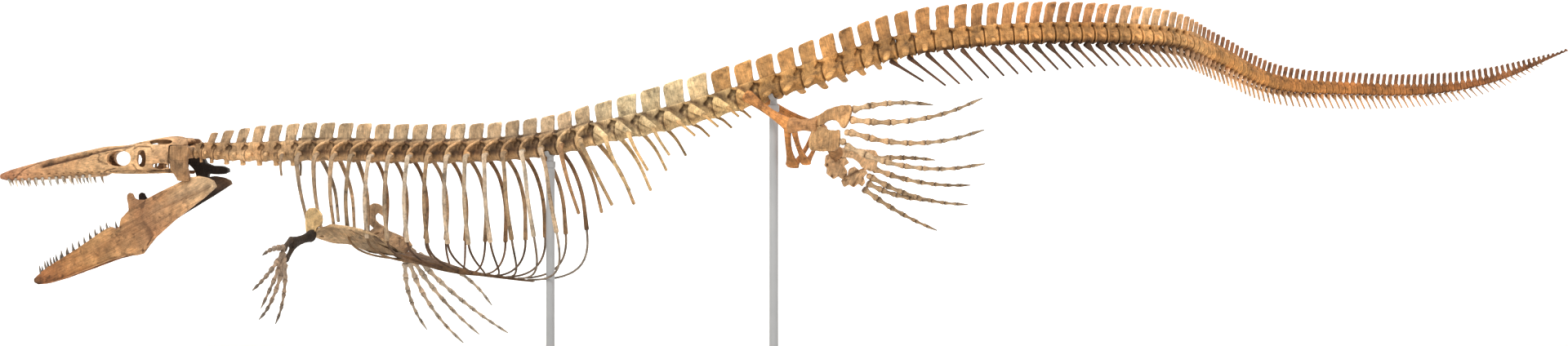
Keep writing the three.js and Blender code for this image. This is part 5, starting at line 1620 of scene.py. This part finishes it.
def lowerBone(limb, which):
    # Forearm bones are waisted rods; shin bones are flat plates with wide ends.
    name = limb["names"][1 if which < 0 else 2]
    wrist, axis, across = finPlane(limb)
    knee = np.array(limb["elbow"], float)
    if name in limb:
        facing = np.cross(across, axis)
        lean = ((knee - wrist) @ facing) / ((knee - wrist) @ axis)
        return thinPlate(
            limb[name], 34, basis(axis + facing * lean, facing, across, wrist), 5000,
            lambda x, z: 0.55 + 0.4 * np.clip(np.abs(x + 80) / 90, 0, 1) ** 2, limb["colours"]["lower"],
            uneven=6.0,
            cracks=limb.get("cracks", ()),
        )
    line = unit(wrist - knee)
    girth, spread = limb["girth"], limb["spread"]
    top = knee - line * 10 + across * which * girth * 0.56
    bottom = wrist + axis * 8 + across * which * spread * 0.66
    bone = rod(
        [top, (top + bottom) / 2 + across * which * 5, bottom],
        lambda s: hourglass(girth * 0.48, girth * 0.27)(s) + (spread - girth) * 0.3 * s,
        hourglass(girth * 0.38, girth * 0.26), facing=across, sides=14, rings=16, blunt=0.75,
    )
    return tint(bone, shade(limb["colours"]["lower"]), 0.08)


def makeLimb(key, limb):
    word = key.split("_")[1]
    slot = "rust_bone" if limb["finish"] == "rust" else "dark_bone"
    finish = finishes[limb["finish"]]
    upper, lower, outer, paddle = limb["names"]
    finishBone(upperBone(limb), upper + word.title(), finish, slot, f"{upper}_{word}")
    for which, name in ((-1, lower), (1, outer)):
        finishBone(lowerBone(limb, which), name + word.title(), finish, slot, f"{name}_{word}")
    bones = [pebble(limb, *spot) for spot in limb["pebbles"]]
    if "heel" in limb:
        wrist, axis, across = finPlane(limb)
        bones.append(thinPlate(
            limb["heel"], 30, crossOver(axis, across, wrist), 3000,
            lambda x, z: 0.7 + 0.3 * np.clip(np.abs(x + 38) / 50, 0, 1) ** 2, limb["colours"]["lower"],
            uneven=6.0,
            cracks=limb["cracks"],
        ))
    for shapeOf in limb["digits"]:
        bones += digitBones(limb, *shapeOf)
    name = paddle + word.title()
    finishBone(joinPieces(bones, name), name, finish, slot, f"{paddle}_{word}")


for word, side in (("left", left), ("right", right)):
    makeShoulder(word, side)
print("shoulder girdle ready")
for key, limb in limbs.items():
    makeLimb(key, limb)
print("limbs ready")


# Pelvis.

pelvis = {
    "pubicEnd": (845, -330, 1070), "ischialEnd": (910, -356, 1085), "pubicWide": 36, "ischialWide": 29,
    "colours": {"left": (192, 130, 72), "right": (176, 118, 64)},
}


def makePelvis(word, side):
    out = bodyRight * side
    joint = np.array(limbs["hind_" + word]["socket"], float)
    sacral = vertebra(column["sacral"])
    hipTop = carried(sacral, 34, side * (sacral["reach"] + 16), -2)
    colour = shade(pelvis["colours"][word])
    upright = np.array([0, 0, 1.0])
    ilium = rod(
        [hipTop + np.array([-24, 0, 10]), hipTop * 0.55 + joint * 0.45 - upright * 8, joint - upright * 2],
        hourglass(36, 20), lambda s: 15 + 18 * s**3, facing=bodyBack, sides=14, rings=22, blunt=0.7,
    )
    bones = {"ilium": ilium}
    for name, end, wide in (("pubis", "pubicEnd", "pubicWide"), ("ischium", "ischialEnd", "ischialWide")):
        foot = np.array(pelvis[end], float)
        offset = bodyBack * (-14 if name == "pubis" else 14)
        size = pelvis[wide] * (1 if side == left else 0.62)
        bones[name] = rod(
            [joint + upright * 2 + offset, joint * 0.5 + foot * 0.5 + out * 26 + offset * 0.5,
             foot + out * 2],
            lambda s, size=size: size * (0.42 + 0.9 * (s - 0.42) ** 2 + 0.5 * s**5),
            lambda s: 12 + 16 * (1 - s) ** 3, facing=bodyBack, sides=14, rings=22, blunt=0.7,
        )
    for name, bone in bones.items():
        roughen(bone, 2.0, 16)
        tint(bone, colour, 0.08)
        finishBone(bone, name + word.title(), finishes["rust"], "rust_bone", f"{name}_{word}")


for word, side in (("left", left), ("right", right)):
    makePelvis(word, side)
print("pelvis ready")


# Display stand.

stand = {
    "length": 3400, "width": 1500, "height": 60, "rod": 22, "frontBone": 21, "rearBone": 31,
    "foot": 62, "footHeight": 14, "collar": 30, "colour": (176, 177, 178), "baseColour": (196, 193, 187),
}


def paintMaterial(name, colour, roughness, grainSize):
    # Satin paint: small changes of gloss and a faint orange-peel relief.
    material = bpy.data.materials.new(name)
    material.use_nodes = True
    make = nodeMaker(material)
    spot = make("ShaderNodeTexCoord").outputs["Object"]
    cloud = make("ShaderNodeTexNoise", {"Vector": spot, "Scale": grainSize, "Detail": 4.0}).outputs["Fac"]
    peel = make("ShaderNodeTexNoise", {"Vector": spot, "Scale": 260.0, "Detail": 2.0}).outputs["Fac"]
    colours = shade(colour)
    tones = make("ShaderNodeMix", {
        0: cloud, 6: (*[c * 0.88 for c in colours], 1), 7: (*[c * 1.12 for c in colours], 1),
    }, data_type="RGBA")
    rough = make("ShaderNodeMapRange", {
        "Value": cloud, "From Min": 0.3, "From Max": 0.7, "To Min": roughness - 0.06,
        "To Max": roughness + 0.08,
    })
    bump = make("ShaderNodeBump", {"Height": peel, "Strength": 0.15, "Distance": 0.0006})
    skin = make("ShaderNodeBsdfPrincipled", {
        "Base Color": tones.outputs[2], "Roughness": rough.outputs["Result"],
        "Normal": bump.outputs["Normal"],
    })
    make("ShaderNodeOutputMaterial", {"Surface": skin.outputs["BSDF"]})
    return material


def makeStand():
    # Heights here are above the datum, so the floor lies below zero.
    clearSelection()
    half = stand["height"] / 2
    bpy.ops.mesh.primitive_cube_add(size=1, location=(0, 0, half - datumHeight))
    base = bpy.context.object
    base.scale = (stand["length"], stand["width"], stand["height"])
    bpy.ops.object.transform_apply(location=True, rotation=True, scale=True)
    bpy.ops.object.mode_set(mode="EDIT")
    bpy.ops.mesh.select_all(action="SELECT")
    bpy.ops.mesh.bevel(offset=6, segments=3)
    shape = bmesh.from_edit_mesh(base.data)
    for face in shape.faces:
        face.select = face.normal.z > 0.99 and face.calc_area() > 1e6
    bmesh.update_edit_mesh(base.data)
    bpy.ops.mesh.inset(thickness=24, depth=0)
    bpy.ops.mesh.inset(thickness=3, depth=-2.5)
    bpy.ops.object.mode_set(mode="OBJECT")
    finishBone(base, "standBase", finishes["base"], "stand_steel", "stand_base")

    floorTop = stand["height"] - datumHeight
    for name, number in (("Front", stand["frontBone"]), ("Rear", stand["rearBone"])):
        item = vertebra(number)
        top = carried(item, 0, 0, -item["radius"] * 0.8)
        foot = stand["foot"]
        profile = [
            (0.4, foot), (stand["footHeight"] - 4, foot), (stand["footHeight"], foot - 4),
            (stand["footHeight"] + 2, stand["collar"] + 4), (stand["footHeight"] + 44, stand["collar"]),
            (stand["footHeight"] + 48, stand["rod"]), (top[2] - floorTop - 66, stand["rod"]),
            (top[2] - floorTop - 64, stand["rod"] + 5), (top[2] - floorTop - 34, stand["rod"] + 5),
            (top[2] - floorTop - 30, stand["rod"] - 4), (top[2] - floorTop, stand["rod"] - 6),
        ]
        bar = spool(profile, 32, "standRod")
        turn = Matrix(((0, 0, -1, 0), (0, 1, 0, 0), (1, 0, 0, 0), (0, 0, 0, 1)))
        place(bar, Matrix.Translation((top[0], top[1], floorTop)) @ turn)
        cradle = rod(
            [carried(item, 0, item["radius"] * 1.04 * math.sin(a), -item["radius"] * 1.04 * math.cos(a))
             for a in (-1.25, -0.8, -0.4, 0, 0.4, 0.8, 1.25)],
            lambda s: 13, lambda s: 4, facing=tuple(item["frame"].col[0][:3]), sides=8, rings=24, blunt=0.9,
        )
        bar = joinPieces([bar, cradle], "standRod" + name)
        finishBone(bar, "standRod" + name, finishes["steel"], "stand_steel", "stand_rod_" + name.lower())


finishes["steel"] = paintMaterial("satinSteelPaint", stand["colour"], 0.42, 6.0)
finishes["base"] = paintMaterial("mattBasePaint", stand["baseColour"], 0.6, 3.0)
makeStand()
print("stand ready")


# Floor, light and camera.

studio = {
    "cameraPlace": (0.8, -8.4, 1.12), "lens": 37.5, "floorColour": (238, 236, 232),
    "backdrop": 9.0, "half": 26.0, "curve": 2.5, "floorGlow": 0.62, "glowFrom": (0.8, 5.0),
    "curveSteps": 12, "wallHeight": 14, "roomLight": 0.6,
}


def groundMaterial():
    # A pale matt ground whose rear wall glows, as a lit backdrop does, so it is near white there.
    material = bpy.data.materials.new("paleGround")
    material.use_nodes = True
    make = nodeMaker(material)
    spot = make("ShaderNodeTexCoord").outputs["Object"]
    depth = make("ShaderNodeSeparateXYZ", {"Vector": spot}).outputs["Y"]
    near, far = studio["glowFrom"]
    glow = make("ShaderNodeMapRange", {
        "Value": depth, "From Min": near, "From Max": far, "To Min": 0.0, "To Max": studio["floorGlow"],
    }, interpolation_type="SMOOTHSTEP")
    skin = make("ShaderNodeBsdfPrincipled", {
        "Base Color": (*shade(studio["floorColour"]), 1), "Roughness": 0.9, "Emission Color": (1, 1, 1, 1),
        "Emission Strength": glow.outputs["Result"], "Specular IOR Level": 0.1,
    })
    # Seen from its rear side the ground is clear, so it never hides the skeleton.
    clear = make("ShaderNodeBsdfTransparent")
    rear = make("ShaderNodeNewGeometry").outputs["Backfacing"]
    both = make("ShaderNodeMixShader", {0: rear, 1: skin.outputs["BSDF"], 2: clear.outputs["BSDF"]})
    make("ShaderNodeOutputMaterial", {"Surface": both.outputs["Shader"]})
    return material


def makeStage():
    # A floor that curves up into a wall behind, seen as one pale ground.
    clearSelection()
    bpy.ops.mesh.primitive_plane_add(size=1)
    floor = bpy.context.object
    floor.name = "studioFloor"
    half, wall, curve = studio["half"], studio["backdrop"], studio["curve"]
    for corner in floor.data.vertices:
        corner.co = (corner.co.x * 2 * half, -half if corner.co.y < 0 else wall - curve, 0)
    bpy.ops.object.mode_set(mode="EDIT")
    bpy.ops.mesh.select_mode(type="EDGE")
    bpy.ops.mesh.select_all(action="DESELECT")
    shape = bmesh.from_edit_mesh(floor.data)
    for edge in shape.edges:
        edge.select_set(all(corner.co.y > 0 for corner in edge.verts))
    bmesh.update_edit_mesh(floor.data)
    steps = studio["curveSteps"]
    for n in range(steps):
        turn = math.pi / 2 * (n + 0.5) / steps
        step = curve * math.pi / 2 / steps
        move = (0, math.cos(turn) * step, math.sin(turn) * step)
        bpy.ops.mesh.extrude_region_move(TRANSFORM_OT_translate={"value": move})
    bpy.ops.mesh.extrude_region_move(TRANSFORM_OT_translate={"value": (0, 0, studio["wallHeight"])})
    bpy.ops.object.mode_set(mode="OBJECT")
    bpy.ops.object.shade_smooth()
    floor.data.materials.append(groundMaterial())


def makeLight(name, place, target, size, power, colour=(1, 1, 1)):
    clearSelection()
    bpy.ops.object.light_add(type="AREA", location=place)
    lamp = bpy.context.object
    lamp.name = name
    lamp.data.shape = "RECTANGLE"
    lamp.data.size, lamp.data.size_y = size
    lamp.data.energy = power
    lamp.data.color = colour
    lamp.visible_camera = False
    lamp.rotation_euler = (Vector(target) - Vector(place)).to_track_quat("-Z", "Y").to_euler()


makeStage()
makeLight("keyLight", (-3.0, -6.0, 7.0), (0.5, 0, 1.0), (5, 2), 400, (1.0, 0.98, 0.95))
makeLight("fillLight", (6.5, -6.0, 3.5), (1.0, 0, 1.2), (5, 4), 90, (0.97, 0.98, 1.0))
makeLight("topLight", (0.5, 0.5, 7.5), (0.5, 0, 0), (10, 3), 150)
world = bpy.data.worlds.new("studioWorld")
world.use_nodes = True
world.node_tree.nodes["Background"].inputs["Color"].default_value = (1, 1, 1, 1)
world.node_tree.nodes["Background"].inputs["Strength"].default_value = studio["roomLight"]
bpy.context.scene.world = world
bpy.context.scene.view_settings.view_transform = "Standard"

bpy.ops.object.camera_add(location=studio["cameraPlace"], rotation=(math.pi / 2, 0, 0))
camera = bpy.context.object
camera.data.lens = studio["lens"]
camera.data.sensor_width = 36
bpy.context.scene.camera = camera
